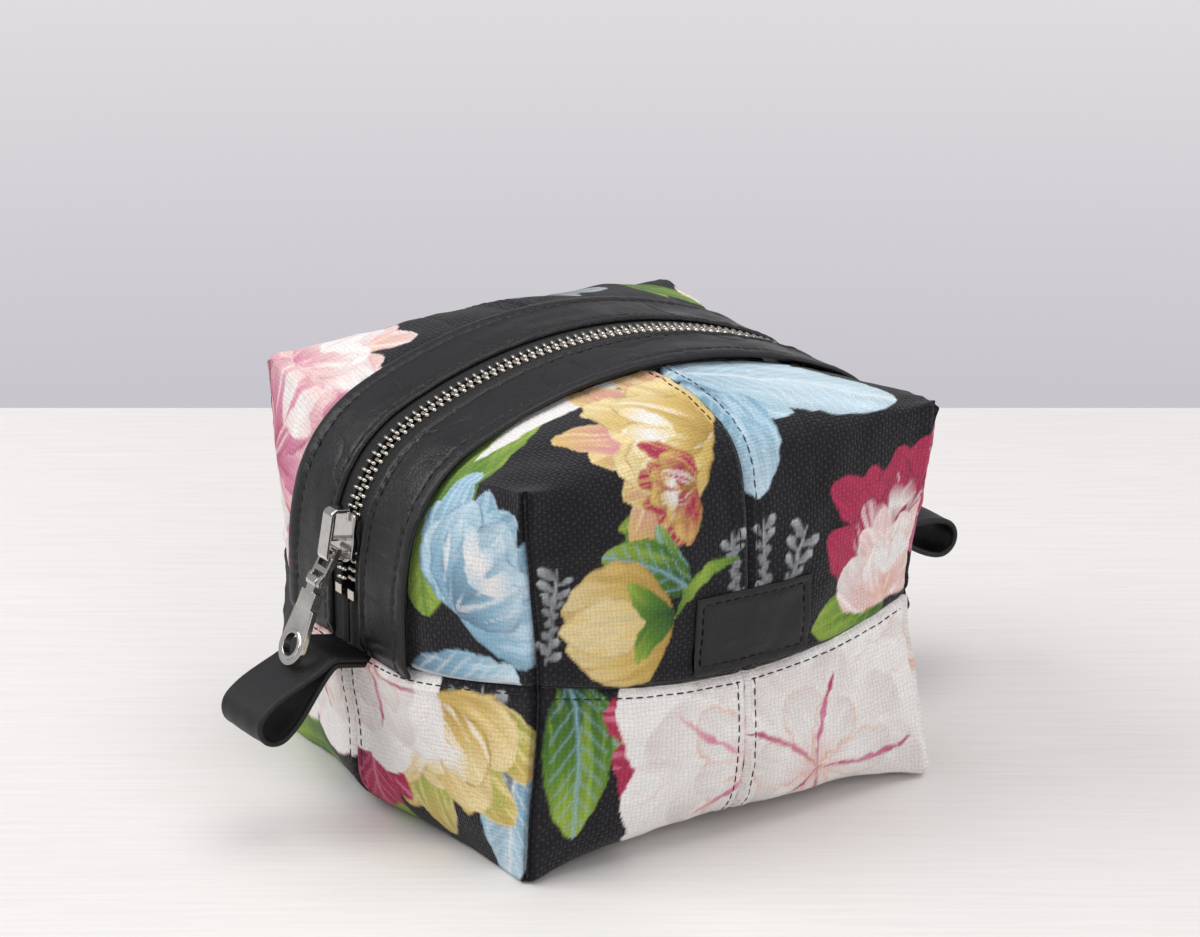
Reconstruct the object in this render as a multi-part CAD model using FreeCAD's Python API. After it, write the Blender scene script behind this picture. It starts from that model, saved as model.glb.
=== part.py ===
import FreeCAD, Part
import math
import os

# A boxed canvas makeup bag: an arched metal zip runs over the top from one end to the other, between two
# leather strips, with a leather pull loop sewn into the seam at each end.
# Frame, in millimetres: X along the zip, Y through the bag with the label on -Y, Z up, and the origin on the
# table under the middle of the base.

# ---- the bag ----
CORNER_X = 62.6          # half the distance between the vertical corner seams, along X
CORNER_Y = 63.0          # the same, along Y
END_BULGE_X = 77.0       # furthest reach of the bulged ends, before the zip's legs flatten them
SIDE_BULGE_Y = 70.0      # furthest reach of the bulged front and back, before their walls flatten them
WALL_Y = 69.0            # flat middle of the front and back walls
SHOULDER_Y = 63.0        # where the top turns down into the front and back walls
SHOULDER_Z = 105.5
FOLD_DROP = 8.0          # height of that soft fold
TOP_SWELL_Z = 117.6      # top of the bag's cross-section, before the zip's arch flattens it
SEAM_Z = 47.0            # seam between the base panels and the upper panels
CANVAS = 1.0             # thickness of the canvas
LINING = (1.3, 1.8)      # depth of the lining's two faces under the canvas's outer face

# ---- the zip's arch, in the XZ plane ----
LEG_X = 75.8             # the straight legs at each end
LEG_TOP_Z = 64.0
EASE_RADIUS = 70.0       # the first gentle turn above a leg
EASE_ANGLE = 15.0
CROWN_START = 65.0       # heading, from upright, where the crown's arc begins
CROWN_Z = 116.0
STRIP_INNER_Y = 7.0      # a leather strip's edge beside the teeth
STRIP_OUTER_Y = 29.0     # its edge on the canvas
STRIP_FACES = (-1.5, -0.3)
CANVAS_EDGE_Y = 26.0     # the canvas's raw edge, under the leather
TAPE_FACES = (-0.25, 0.25)
TAPE_INNER_Y = 1.6
TAPE_OUTER_Y = 15.0
TAPE_PARTED_Y = 3.1      # the tape's edge below the slider, where the rows have parted
LINING_EDGE_Y = 12.0      # where each lining half meets its tape

# ---- teeth and stops ----
PITCH = 2.4
TOOTH_THICK = 1.0        # along the zip
TOOTH_HALF_HEIGHT = 1.3
TOOTH_REACH = 0.6        # how far a head passes the middle
TOOTH_WAIST_Y = 1.5
TOOTH_ROOT_Y = 3.1
JAW_CLEAR = 0.35         # half the slot that grips the tape
ROW_PARTING = 1.3        # how far each row has moved aside below the slider
FIRST_TOOTH = 17.6       # distances along the arch from the left end seam
STOP_AT = 14.6
LAST_TOOTH_FROM_END = 8.0
BOTTOM_STOP_FROM_END = 4.6

# ---- slider ----
SLIDER_TILT = 10.5       # heading of the arch where the slider rests
PLATE_FACES = (1.75, 2.75)
PLATE_FRONT_U = -6.6
PLATE_REAR_U = 6.0
PLATE_FRONT_V = 5.3
PLATE_REAR_V = 4.6
FLANGE = 0.7
TAPE_SLOT = 0.6
CAP_HALF_LENGTH = 7.0
CAP_HALF_WIDTH = 2.1
CAP_TOP = 8.4
CAP_WALL = 1.15
CAP_ROUND = 2.0
BAR_U = -3.8             # the link's bar, inside the cap
BAR_W = 5.1
BAR_RADIUS = 0.8

# ---- link and puller ----
LINK_LEAN = 21.6         # from the slider's own axis, outwards
LINK_LENGTH = 9.5
LINK_HALF_WIDTH = 3.2
LINK_ARM = 0.8
LINK_THICK = 1.5
PULLER_LEAN = 14.0       # from the slider's own axis, outwards
PIN_RADIUS = 0.8
KNUCKLE_RADIUS = 1.6
KNUCKLE_HALF_WIDTH = 1.7
BLOCK_END = 7.2
BLOCK_HALF_WIDTH = 3.4
BLOCK_HALF_THICK = 1.35
PLATE_HALF_THICK = 0.8
STEP_HALF_WIDTH = 4.3
ROUND_RADIUS = 5.4
HOLE_AT = 17.2
HOLE_RADIUS = 3.0
RIM_RADIUS = 4.0
RIM_HEIGHT = 0.35

# ---- label and pull loops ----
LABEL_X = (-16.0, 19.0)
LABEL_Z = (47.6, 69.0)
LABEL_THICK = 1.0
LOOP_HALF_WIDTH = 10.0
LOOP_ROOT = (77.0, 45.2)
STRAP = 1.5              # thickness of a loop's strap
NECK_LENGTH = 9.0
NECK_ANGLE = {"left": 12.0, "right": 12.0}
DROOP_ANGLE = {"left": -38.0, "right": -14.0}
BOW_LENGTH = 22.0        # from the neck to the middle of the loop's round end
BOW_RADIUS = 4.2         # inside the round end

V = FreeCAD.Vector


def sin(degrees):
    return math.sin(math.radians(degrees))


def cos(degrees):
    return math.cos(math.radians(degrees))


def line(p, q):
    return Part.LineSegment(V(*p), V(*q)).toShape()


def arc(p, middle, q):
    return Part.Arc(V(*p), V(*middle), V(*q)).toShape()


def box(x, y, z):
    return Part.makeBox(x[1] - x[0], y[1] - y[0], z[1] - z[0], V(x[0], y[0], z[0]))


def prism(edges, start, direction):
    face = Part.Face(Part.Wire(edges))
    face.translate(V(*start))
    return face.extrude(V(*direction))


def polygon_prism(points, direction):
    wire = Part.makePolygon([V(*p) for p in points + points[:1]])
    return Part.Face(wire).extrude(V(*direction))


# ---- the arch ----
def arch_radii():
    """Radii of the corner and the crown, so that the arch runs smoothly from the legs to the crown's top."""
    x = LEG_X - EASE_RADIUS * (1 - cos(EASE_ANGLE))
    rise = CROWN_Z - LEG_TOP_Z - EASE_RADIUS * sin(EASE_ANGLE)
    a = cos(EASE_ANGLE) - cos(CROWN_START)
    b = cos(CROWN_START)
    c = sin(CROWN_START) - sin(EASE_ANGLE)
    d = 1 - sin(CROWN_START)
    det = a * d - b * c
    return (x * d - b * rise) / det, (a * rise - c * x) / det


CORNER_RADIUS, CROWN_RADIUS = arch_radii()
TURNS = [
    (EASE_RADIUS, EASE_ANGLE),
    (CORNER_RADIUS, CROWN_START - EASE_ANGLE),
    (CROWN_RADIUS, 180 - 2 * CROWN_START),
    (CORNER_RADIUS, CROWN_START - EASE_ANGLE),
    (EASE_RADIUS, EASE_ANGLE),
]
LEG_LENGTH = LEG_TOP_Z - SEAM_Z
ARCH_LENGTH = 2 * LEG_LENGTH + sum(r * math.radians(a) for r, a in TURNS)
SLIDER_AT = LEG_LENGTH + EASE_RADIUS * math.radians(SLIDER_TILT)


def arch_point(distance):
    """Place on the arch: x, z and the heading from upright, at a distance from the left end seam."""
    x, z, heading = -LEG_X, SEAM_Z, 0.0
    run = min(distance, LEG_LENGTH)
    z += run
    distance -= run
    for radius, angle in TURNS:
        turned = min(math.degrees(distance / radius), angle)
        x += radius * (cos(heading) - cos(heading + turned))
        z += radius * (sin(heading + turned) - sin(heading))
        heading += turned
        distance -= radius * math.radians(turned)
    return x, z - distance, heading


def arch_edges(depth, floor):
    """The arch's closed outline at a depth under its face, down to the floor."""
    x, z, heading = -LEG_X, LEG_TOP_Z, 0.0
    centre_x, centre_z = x, z

    def on_arc(cx, cz, radius, angle):
        return (cx - (radius - depth) * cos(angle), 0, cz + (radius - depth) * sin(angle))

    first = (-LEG_X + depth, 0, floor)
    edges = [line(first, (-LEG_X + depth, 0, LEG_TOP_Z))]
    last_radius = 0.0
    for radius, angle in TURNS:
        centre_x += (radius - last_radius) * cos(heading)
        centre_z -= (radius - last_radius) * sin(heading)
        points = [on_arc(centre_x, centre_z, radius, heading + angle * k / 2) for k in range(3)]
        edges.append(arc(*points))
        heading += angle
        last_radius = radius
    edges.append(line((LEG_X - depth, 0, LEG_TOP_Z), (LEG_X - depth, 0, floor)))
    edges.append(line((LEG_X - depth, 0, floor), first))
    return edges


# ---- the bag's body ----
def body_solid(depth, floor):
    """The bag's outer form moved in by a depth: plan, arch and cross-section, each extruded, in common."""
    cx, cy = CORNER_X - depth, CORNER_Y - depth
    ex, sy = END_BULGE_X - depth, SIDE_BULGE_Y - depth
    plan = prism(
        [
            arc((-cx, -cy, 0), (0, -sy, 0), (cx, -cy, 0)),
            arc((cx, -cy, 0), (ex, 0, 0), (cx, cy, 0)),
            arc((cx, cy, 0), (0, sy, 0), (-cx, cy, 0)),
            arc((-cx, cy, 0), (-ex, 0, 0), (-cx, -cy, 0)),
        ],
        (0, 0, floor),
        (0, 0, TOP_SWELL_Z * 1.2),
    )
    reach = SIDE_BULGE_Y * 1.2
    arch = prism(arch_edges(depth, floor), (0, -reach, 0), (0, 2 * reach, 0))
    wall, shoulder = WALL_Y - depth, SHOULDER_Y - depth
    top, bend = SHOULDER_Z - depth, SHOULDER_Z - depth - FOLD_DROP
    fold_y = shoulder + (wall - shoulder) * sin(50)
    fold_z = bend + FOLD_DROP * cos(40)
    span = END_BULGE_X * 1.2
    section = prism(
        [
            line((0, -wall, floor), (0, -wall, bend)),
            arc((0, -wall, bend), (0, -fold_y, fold_z), (0, -shoulder, top)),
            arc((0, -shoulder, top), (0, 0, TOP_SWELL_Z - depth), (0, shoulder, top)),
            arc((0, shoulder, top), (0, fold_y, fold_z), (0, wall, bend)),
            line((0, wall, bend), (0, wall, floor)),
            line((0, wall, floor), (0, -wall, floor)),
        ],
        (-span, 0, 0),
        (2 * span, 0, 0),
    )
    return plan.common(arch).common(section)


def skin(outer_depth, inner_depth):
    """A layer of the bag between two depths; a layer inside the canvas has its own floor."""
    outer_floor = max(outer_depth, 0)
    return body_solid(outer_depth, outer_floor).cut(body_solid(inner_depth, max(inner_depth, 0)))


SIDES = {"left": -1, "right": 1}
FACES = {"front": -1, "back": 1}
FAR = 200.0


def span_of(sign, near, far=FAR):
    return (near, far) if sign > 0 else (-far, -near)


def canvas_panels():
    """Four base panels and four upper panels, meeting at the seams."""
    canvas = skin(0, CANVAS)
    panels = {}
    for face, sy in FACES.items():
        for side, sx in SIDES.items():
            base = box(span_of(sx, 0), span_of(sy, 0), (-1, SEAM_Z))
            upper = box(span_of(sx, 0), span_of(sy, CANVAS_EDGE_Y), (SEAM_Z, FAR))
            panels[f"canvas_base_{face}_{side}"] = canvas.common(base)
            panels[f"canvas_upper_{face}_{side}"] = canvas.common(upper)
    return panels


def linings():
    """A front and a back half, each sewn to its own zip tape."""
    lining = skin(*LINING)
    halves = {}
    for face, sy in FACES.items():
        below = box((-FAR, FAR), span_of(sy, 0), (-1, SEAM_Z))
        above = box((-FAR, FAR), span_of(sy, LINING_EDGE_Y), (SEAM_Z, FAR))
        halves[f"lining_{face}"] = lining.common(below.fuse(above))
    return halves


def label_patch():
    x, z = LABEL_X, LABEL_Z
    patch = box(x, (-WALL_Y - LABEL_THICK, -WALL_Y), z)
    upright = [e for e in patch.Edges if abs(e.tangentAt(e.FirstParameter).y) > 0.9]
    return patch.makeFillet(1.2, upright)


# ---- the zip ----
def on_arch(shape, distance):
    """Carry a shape from the zip's own axes (u along it, v across, w outwards) to a place on the arch."""
    x, z, heading = arch_point(distance)
    s, c = sin(heading), cos(heading)
    matrix = FreeCAD.Matrix(s, 0, -c, x, 0, 1, 0, 0, c, 0, s, z, 0, 0, 0, 1)
    moved = shape.copy()
    moved.Placement = FreeCAD.Placement(matrix)
    return moved


def tooth():
    """A tooth of the back row: a head that passes the middle, and two jaws that grip the tape."""
    u = (-TOOTH_THICK / 2, TOOTH_THICK / 2)
    head = box(u, (-TOOTH_REACH, TOOTH_WAIST_Y), (-TOOTH_HALF_HEIGHT, TOOTH_HALF_HEIGHT))
    jaws = box(u, (TOOTH_WAIST_Y, TOOTH_ROOT_Y), (-TOOTH_HALF_HEIGHT, TOOTH_HALF_HEIGHT))
    slot = box(u, (TOOTH_WAIST_Y, TOOTH_ROOT_Y), (-JAW_CLEAR, JAW_CLEAR))
    return head.fuse(jaws.cut(slot)).removeSplitter()


def parting(distance):
    """How far a row has moved aside at a distance along the arch: none above the slider's middle."""
    share = min(max((SLIDER_AT - distance) / 3.5, 0), 1)
    return ROW_PARTING * share * share * (3 - 2 * share)


def mirrored_to(shape, sy):
    return shape if sy > 0 else shape.mirror(V(0, 0, 0), V(0, 1, 0))


def teeth_row(sy):
    """One row; the front row stands half a pitch further on, so the heads pass between each other."""
    one = mirrored_to(tooth(), sy)
    start = FIRST_TOOTH + (PITCH / 2 if sy < 0 else 0)
    count = int((ARCH_LENGTH - LAST_TOOTH_FROM_END - start) / PITCH)
    row = []
    for k in range(count):
        at = start + k * PITCH
        moved = one.copy()
        moved.translate(V(0, sy * parting(at), 0))
        # a fresh copy, so the aside step stays in the shape's own geometry
        row.append(on_arch(Part.Compound([moved]), at).Solids[0])
    return Part.Compound(row)


def zip_tape(sy):
    tape = skin(*TAPE_FACES)
    whole = tape.common(box((-FAR, FAR), span_of(sy, TAPE_INNER_Y, TAPE_OUTER_Y), (SEAM_Z, FAR)))
    _, parted_z, _ = arch_point(SLIDER_AT)
    return whole.cut(box((-FAR, 0), (-TAPE_PARTED_Y, TAPE_PARTED_Y), (0, parted_z)))


def leather_strip(sy):
    strip = skin(*STRIP_FACES)
    return strip.common(box((-FAR, FAR), span_of(sy, STRIP_INNER_Y, STRIP_OUTER_Y), (SEAM_Z, FAR)))


def top_stop(sy):
    """A crimped stop on one tape, just below the resting slider."""
    inner, outer = TAPE_PARTED_Y - 1.5, TAPE_PARTED_Y + 1.5
    outline = box((-1.3, 1.3), (inner, outer), (-1.5, 1.5))
    slot = box((-1.3, 1.3), (TAPE_PARTED_Y - 0.1, outer), (-JAW_CLEAR, JAW_CLEAR))
    return on_arch(mirrored_to(outline.cut(slot), sy), STOP_AT)


def bottom_stop():
    """A staple across both tapes at the right end, its legs through them."""
    bar = box((-1.4, 1.4), (-3.6, 3.6), (JAW_CLEAR, 1.3))
    bar = bar.makeFillet(0.35, bar.Edges)
    return on_arch(bar, ARCH_LENGTH - BOTTOM_STOP_FROM_END)


# ---- slider ----
def plate_outline(inset, low, high):
    front, rear = PLATE_FRONT_V - inset, PLATE_REAR_V - inset
    nose = 2.4
    points = [
        (PLATE_FRONT_U + inset, -front + nose, low),
        (PLATE_FRONT_U + inset + 1.4, -front, low),
        (-1.0, -front, low),
        (1.6, -rear, low),
        (PLATE_REAR_U - 0.8, -rear, low),
        (PLATE_REAR_U, -rear + 0.8, low),
    ]
    mirrored = [(u, -v, w) for u, v, w in reversed(points)]
    return polygon_prism(points + mirrored, (0, 0, high - low))


def slider_body():
    """Two plates joined by the wedge that parts the rows, with flanges that leave a slot for each tape."""
    low, high = PLATE_FACES
    shape = None
    for sign in (-1, 1):
        faces = (low, high) if sign > 0 else (-high, -low)
        rim = (TAPE_SLOT, low) if sign > 0 else (-low, -TAPE_SLOT)
        half = plate_outline(0, *faces)
        ring = plate_outline(0, *rim).cut(plate_outline(FLANGE, *rim))
        cutter = box((PLATE_FRONT_U - 1, -3.2), (-FAR, FAR), rim)
        rear = box((PLATE_REAR_U - 1.2, PLATE_REAR_U + 1), (-FAR, FAR), rim)
        half = half.fuse(ring.cut(cutter).cut(rear))
        shape = half if shape is None else shape.fuse(half)
    wedge = polygon_prism(
        [(-6.4, -0.5, -low), (-5.0, -0.6, -low), (-3.6, 0, -low), (-5.0, 0.6, -low), (-6.4, 0.5, -low)],
        (0, 0, 2 * low),
    )
    return shape.fuse(wedge).removeSplitter()


def slider_cap():
    """The cap over the lock, an arch that the link's bar passes through."""
    width = (-CAP_HALF_WIDTH, CAP_HALF_WIDTH)
    floor = PLATE_FACES[1]
    block = box((-CAP_HALF_LENGTH, CAP_HALF_LENGTH), width, (floor, CAP_TOP))
    ends = [
        e
        for e in block.Edges
        if abs(e.tangentAt(e.FirstParameter).y) > 0.9 and e.BoundBox.ZMax > CAP_TOP - 0.1
    ]
    block = block.makeFillet(CAP_ROUND, ends)
    inner = CAP_HALF_LENGTH - CAP_WALL
    window = box((-inner, inner), (-FAR, FAR), (floor - 1, CAP_TOP - CAP_WALL))
    corners = [
        e
        for e in window.Edges
        if abs(e.tangentAt(e.FirstParameter).y) > 0.9 and e.BoundBox.ZMax > CAP_TOP - CAP_WALL - 0.1
    ]
    window = window.makeFillet(CAP_ROUND - CAP_WALL, corners)
    cap = block.cut(window)
    feet = box((PLATE_REAR_U - 2.2, inner), width, (floor, floor + 0.8))
    return cap.fuse(feet).removeSplitter()


def slider_lock_spring():
    """The leaf spring and its pawl, under the cap's rear half."""
    width = (-CAP_HALF_WIDTH + 0.5, CAP_HALF_WIDTH - 0.5)
    floor = PLATE_FACES[1]
    top = CAP_TOP - CAP_WALL - 0.1
    leaf = box((-1.4, 3.4), width, (top - 0.7, top))
    pawl = box((-1.4, -0.8), width, (floor + 0.1, top))
    return leaf.fuse(pawl).removeSplitter()


# ---- link and puller ----
def bar_shape(start, end, half_width, low, high):
    """A plate with round ends, from start to end along -u, between two heights on v."""
    s, e = -start, -end
    edges = [
        line((s, low, -half_width), (e, low, -half_width)),
        arc((e, low, -half_width), (e - half_width, low, 0), (e, low, half_width)),
        line((e, low, half_width), (s, low, half_width)),
        arc((s, low, half_width), (s + half_width, low, 0), (s, low, -half_width)),
    ]
    return Part.Face(Part.Wire(edges)).extrude(V(0, high - low, 0))


def rod(radius, half_length):
    return Part.makeCylinder(radius, 2 * half_length, V(0, -half_length, 0), V(0, 1, 0))


def leaned(shape, degrees):
    """Turn a shape that points along -u outwards by an angle, about the v axis."""
    turned = shape.copy()
    turned.rotate(V(0, 0, 0), V(0, 1, 0), degrees)
    return turned


def pull_link():
    """Two arms from the bar in the cap, a flat plate across them, and two lugs for the pin."""
    width, half = LINK_HALF_WIDTH, LINK_THICK / 2
    shape = rod(BAR_RADIUS, width)
    for sign in (-1, 1):
        arm = sorted((sign * (width - LINK_ARM), sign * width))
        shape = shape.fuse(bar_shape(0, LINK_LENGTH, half, *arm))
        lug = sorted((sign * (KNUCKLE_HALF_WIDTH + 0.15), sign * width))
        shape = shape.fuse(bar_shape(LINK_LENGTH - 1.2, LINK_LENGTH, half + 0.5, *lug))
    plate = box((-LINK_LENGTH + 2.9, -5.2), (-width, width), (-half, half))
    shape = shape.fuse(plate).cut(
        Part.makeCylinder(PIN_RADIUS, 2 * width, V(-LINK_LENGTH, -width, 0), V(0, 1, 0))
    )
    return leaned(shape.removeSplitter(), LINK_LEAN)


def pull_pin():
    pin = rod(PIN_RADIUS, LINK_HALF_WIDTH)
    pin.translate(V(-LINK_LENGTH, 0, 0))
    return leaned(pin, LINK_LEAN)


def puller():
    """A stepped tab: knuckle, thick block, then a wider plate with a rimmed round hole."""
    shape = rod(KNUCKLE_RADIUS, KNUCKLE_HALF_WIDTH)
    neck = box((-2.6, 0), (-KNUCKLE_HALF_WIDTH, KNUCKLE_HALF_WIDTH), (-BLOCK_HALF_THICK, BLOCK_HALF_THICK))
    block = box((-BLOCK_END, -2.6), (-BLOCK_HALF_WIDTH, BLOCK_HALF_WIDTH), (-BLOCK_HALF_THICK, BLOCK_HALF_THICK))
    ramp = polygon_prism(
        [
            (-BLOCK_END, -BLOCK_HALF_WIDTH, -BLOCK_HALF_THICK),
            (-BLOCK_END - 1.2, -BLOCK_HALF_WIDTH, -PLATE_HALF_THICK),
            (-BLOCK_END - 1.2, -BLOCK_HALF_WIDTH, PLATE_HALF_THICK),
            (-BLOCK_END, -BLOCK_HALF_WIDTH, BLOCK_HALF_THICK),
        ],
        (0, 2 * BLOCK_HALF_WIDTH, 0),
    )
    turn = 8.0
    edge = (-HOLE_AT + ROUND_RADIUS * sin(turn), ROUND_RADIUS * cos(turn))
    outline = [
        line((-BLOCK_END, -STEP_HALF_WIDTH, 0), (edge[0], -edge[1], 0)),
        arc((edge[0], -edge[1], 0), (-HOLE_AT - ROUND_RADIUS, 0, 0), (edge[0], edge[1], 0)),
        line((edge[0], edge[1], 0), (-BLOCK_END, STEP_HALF_WIDTH, 0)),
        line((-BLOCK_END, STEP_HALF_WIDTH, 0), (-BLOCK_END, -STEP_HALF_WIDTH, 0)),
    ]
    plate = prism(outline, (0, 0, -PLATE_HALF_THICK), (0, 0, 2 * PLATE_HALF_THICK))
    reach = PLATE_HALF_THICK + RIM_HEIGHT
    up = V(0, 0, 1)
    rim = Part.makeCylinder(RIM_RADIUS, 2 * reach, V(-HOLE_AT, 0, -reach), up)
    hole = Part.makeCylinder(HOLE_RADIUS, 2 * reach, V(-HOLE_AT, 0, -reach), up)
    shape = shape.fuse([neck, block, ramp, plate, rim]).cut(hole)
    shape = shape.cut(rod(PIN_RADIUS + 0.05, KNUCKLE_HALF_WIDTH))
    return leaned(shape.removeSplitter(), PULLER_LEAN)


def placed(shape, u, w):
    """Carry a shape built round its own pivot to that pivot's place on the slider, and on to the arch."""
    moved = shape.copy()
    moved.translate(V(u, 0, w))
    return on_arch(Part.Compound([moved]), SLIDER_AT).Solids[0]


def pin_place():
    return BAR_U - LINK_LENGTH * cos(LINK_LEAN), BAR_W + LINK_LENGTH * sin(LINK_LEAN)


# ---- pull loops ----
def pull_loop(side):
    """A strap folded into a loop: two layers together in the neck, opening into a round-ended bow."""
    neck, droop = NECK_ANGLE[side], DROOP_ANGLE[side]
    half = STRAP

    def bow(outer):
        """Outline of the bow along +x: straight flanks from the neck, touching the round end."""
        start = half if outer else 0.05
        radius = BOW_RADIUS + (STRAP if outer else 0)
        first = 0 if outer else STRAP * 2.2
        lean = math.degrees(math.asin((radius - start) / BOW_LENGTH))
        touch = (BOW_LENGTH - radius * sin(lean), radius * cos(lean))
        return [
            line((first, 0, start), (touch[0], 0, touch[1])),
            arc((touch[0], 0, touch[1]), (BOW_LENGTH + radius, 0, 0), (touch[0], 0, -touch[1])),
            line((touch[0], 0, -touch[1]), (first, 0, -start)),
            line((first, 0, -start), (first, 0, start)),
        ]

    width = (0, 2 * LOOP_HALF_WIDTH, 0)
    start = (0, -LOOP_HALF_WIDTH, 0)
    ring = prism(bow(True), start, width).cut(prism(bow(False), start, width))
    ring.rotate(V(0, 0, 0), V(0, 1, 0), -droop)
    ring.translate(V(NECK_LENGTH * cos(neck), 0, NECK_LENGTH * sin(neck)))
    stem = prism(
        [
            line((0, 0, half), (NECK_LENGTH, 0, half)),
            arc((NECK_LENGTH, 0, half), (NECK_LENGTH + half, 0, 0), (NECK_LENGTH, 0, -half)),
            line((NECK_LENGTH, 0, -half), (0, 0, -half)),
            line((0, 0, -half), (0, 0, half)),
        ],
        start,
        width,
    )
    stem.rotate(V(0, 0, 0), V(0, 1, 0), -neck)
    loop = ring.fuse(stem).removeSplitter()
    loop.translate(V(LOOP_ROOT[0], 0, LOOP_ROOT[1]))
    return loop if side == "right" else loop.mirror(V(0, 0, 0), V(1, 0, 0))


def build():
    parts = {}
    parts.update(canvas_panels())
    parts.update(linings())
    parts["label_patch"] = label_patch()
    for face, sy in FACES.items():
        parts[f"leather_strip_{face}"] = leather_strip(sy)
        parts[f"zip_tape_{face}"] = zip_tape(sy)
        parts[f"zip_teeth_{face}"] = teeth_row(sy)
        parts[f"top_stop_{face}"] = top_stop(sy)
    parts["bottom_stop"] = bottom_stop()
    parts["slider_body"] = placed(slider_body(), 0, 0)
    parts["slider_cap"] = placed(slider_cap(), 0, 0)
    parts["slider_lock_spring"] = placed(slider_lock_spring(), 0, 0)
    parts["pull_link"] = placed(pull_link(), BAR_U, BAR_W)
    parts["pull_pin"] = placed(pull_pin(), BAR_U, BAR_W)
    parts["puller"] = placed(puller(), *pin_place())
    for side in SIDES:
        parts[f"pull_loop_{side}"] = pull_loop(side)
    return parts


def report(parts):
    """Print the sizes that the record and the joints are written from."""
    x, z, heading = arch_point(SLIDER_AT)
    hub_z = z - abs(x) * math.tan(math.radians(heading))
    print(f"arch {ARCH_LENGTH:.2f} corner radius {CORNER_RADIUS:.2f} crown radius {CROWN_RADIUS:.2f}")
    print(f"slider at x {x:.3f} z {z:.3f} heading {heading:.2f}, hub z {hub_z:.3f}, turn {180 - heading:.2f}")
    for name, (u, w) in {"bar": (BAR_U, BAR_W), "pin": pin_place()}.items():
        s, c = sin(heading), cos(heading)
        print(f"{name} x {x + s * u - c * w:.4f} z {z + c * u + s * w:.4f}")
    for name, shape in parts.items():
        kind = "ok" if shape.isValid() else "INVALID"
        b = shape.BoundBox
        print(
            f"{name} {kind} solids {len(shape.Solids)} volume {shape.Volume:.1f} "
            f"x {b.XMin:.1f} {b.XMax:.1f} y {b.YMin:.1f} {b.YMax:.1f} z {b.ZMin:.1f} {b.ZMax:.1f}"
        )


os.makedirs("parts", exist_ok=True)
PARTS = build()
for NAME, SHAPE in PARTS.items():
    SHAPE.exportStep(f"parts/{NAME}.step")
report(PARTS)
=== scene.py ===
"""The looks of a boxed canvas makeup bag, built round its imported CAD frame.

Lengths are in millimetres until a mesh is written, which turns them into metres. Each canvas quarter has its
own flat cloth coordinates: s runs outwards from the centre seam, and v is the distance from the fold line,
positive on the top or underneath and negative on the wall.
"""

import logging
import math
from dataclasses import dataclass, field
from enum import Enum
from typing import Sequence

import bmesh
import bpy
import numpy as np
from mathutils import Matrix, Vector


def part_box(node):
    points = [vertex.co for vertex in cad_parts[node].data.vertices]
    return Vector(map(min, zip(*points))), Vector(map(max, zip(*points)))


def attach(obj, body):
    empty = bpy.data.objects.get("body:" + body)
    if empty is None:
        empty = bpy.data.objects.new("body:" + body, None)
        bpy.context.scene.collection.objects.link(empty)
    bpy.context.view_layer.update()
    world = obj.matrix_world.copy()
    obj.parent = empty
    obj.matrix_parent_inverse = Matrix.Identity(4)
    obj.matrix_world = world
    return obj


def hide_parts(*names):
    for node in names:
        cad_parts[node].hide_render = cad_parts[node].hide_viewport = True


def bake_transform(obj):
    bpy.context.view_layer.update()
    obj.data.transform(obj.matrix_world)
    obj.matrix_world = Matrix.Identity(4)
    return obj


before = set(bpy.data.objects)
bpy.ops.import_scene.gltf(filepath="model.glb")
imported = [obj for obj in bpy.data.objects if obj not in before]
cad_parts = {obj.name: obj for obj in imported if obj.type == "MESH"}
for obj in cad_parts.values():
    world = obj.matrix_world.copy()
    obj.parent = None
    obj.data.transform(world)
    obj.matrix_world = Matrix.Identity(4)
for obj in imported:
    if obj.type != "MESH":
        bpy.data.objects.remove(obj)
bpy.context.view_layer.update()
LOG = logging.getLogger("makeup_bag")
Array = np.ndarray
MM = 0.001
CANVAS_EDGE = 26.5  # the upper canvas starts here, under the strips
LINING_EDGE = 12.5  # the lining starts here, under the tapes
LEVEL_STITCH = 2.2  # stitches by the horizontal seam
SEAM_STITCH = 2.9  # stitches beside the centre and bottom seams
STITCH_PITCH = 2.9
Pair, Triple = tuple[float, float], tuple[float, float, float]
Piece, Material = bpy.types.Object, bpy.types.Material
Tree, Node, Socket = bpy.types.NodeTree, bpy.types.Node, bpy.types.NodeSocket


class Face(Enum):
    """The label side and the back, each with its sign on Y."""

    FRONT = -1
    BACK = 1


class Side(Enum):
    """The slider's end and the far end, each with its sign on X."""

    LEFT = -1
    RIGHT = 1


def word(choice: Face | Side) -> str:
    """The lower-case name of a face or side, as the CAD nodes spell it."""
    return choice.name.lower()


def box_mm(node: str) -> tuple[Array, Array]:
    """A CAD node's lowest and highest corners, in millimetres."""
    low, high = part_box(node)
    return np.array(low) / MM, np.array(high) / MM


# ---- numbers over a surface ----


def smooth(low: float, high: float, x: Array) -> Array:
    """A smooth step from 0 at low to 1 at high: three t squared less two t cubed."""
    t = np.clip((x - low) / (high - low), 0, 1)
    return t * t * (3 - 2 * t)


def ridge(distance: Array, width: float) -> Array:
    """A bump of height 1 at distance 0: a bell curve of the given width."""
    return np.exp(-((distance / width) ** 2))


def lattice(ix: Array, iy: Array, seed: int) -> Array:
    """A fixed number from 0 to 1 for each whole-number pair, from an integer hash."""
    n = ix.astype(np.int64) * 374761393 + iy.astype(np.int64) * 668265263 + seed * 97463477
    n = ((n ^ (n >> 13)) & 0x7FFFFFFF) * 1274126177
    n = n & 0x7FFFFFFF
    return ((n ^ (n >> 16)) & 0xFFFF) / 65535.0


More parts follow.
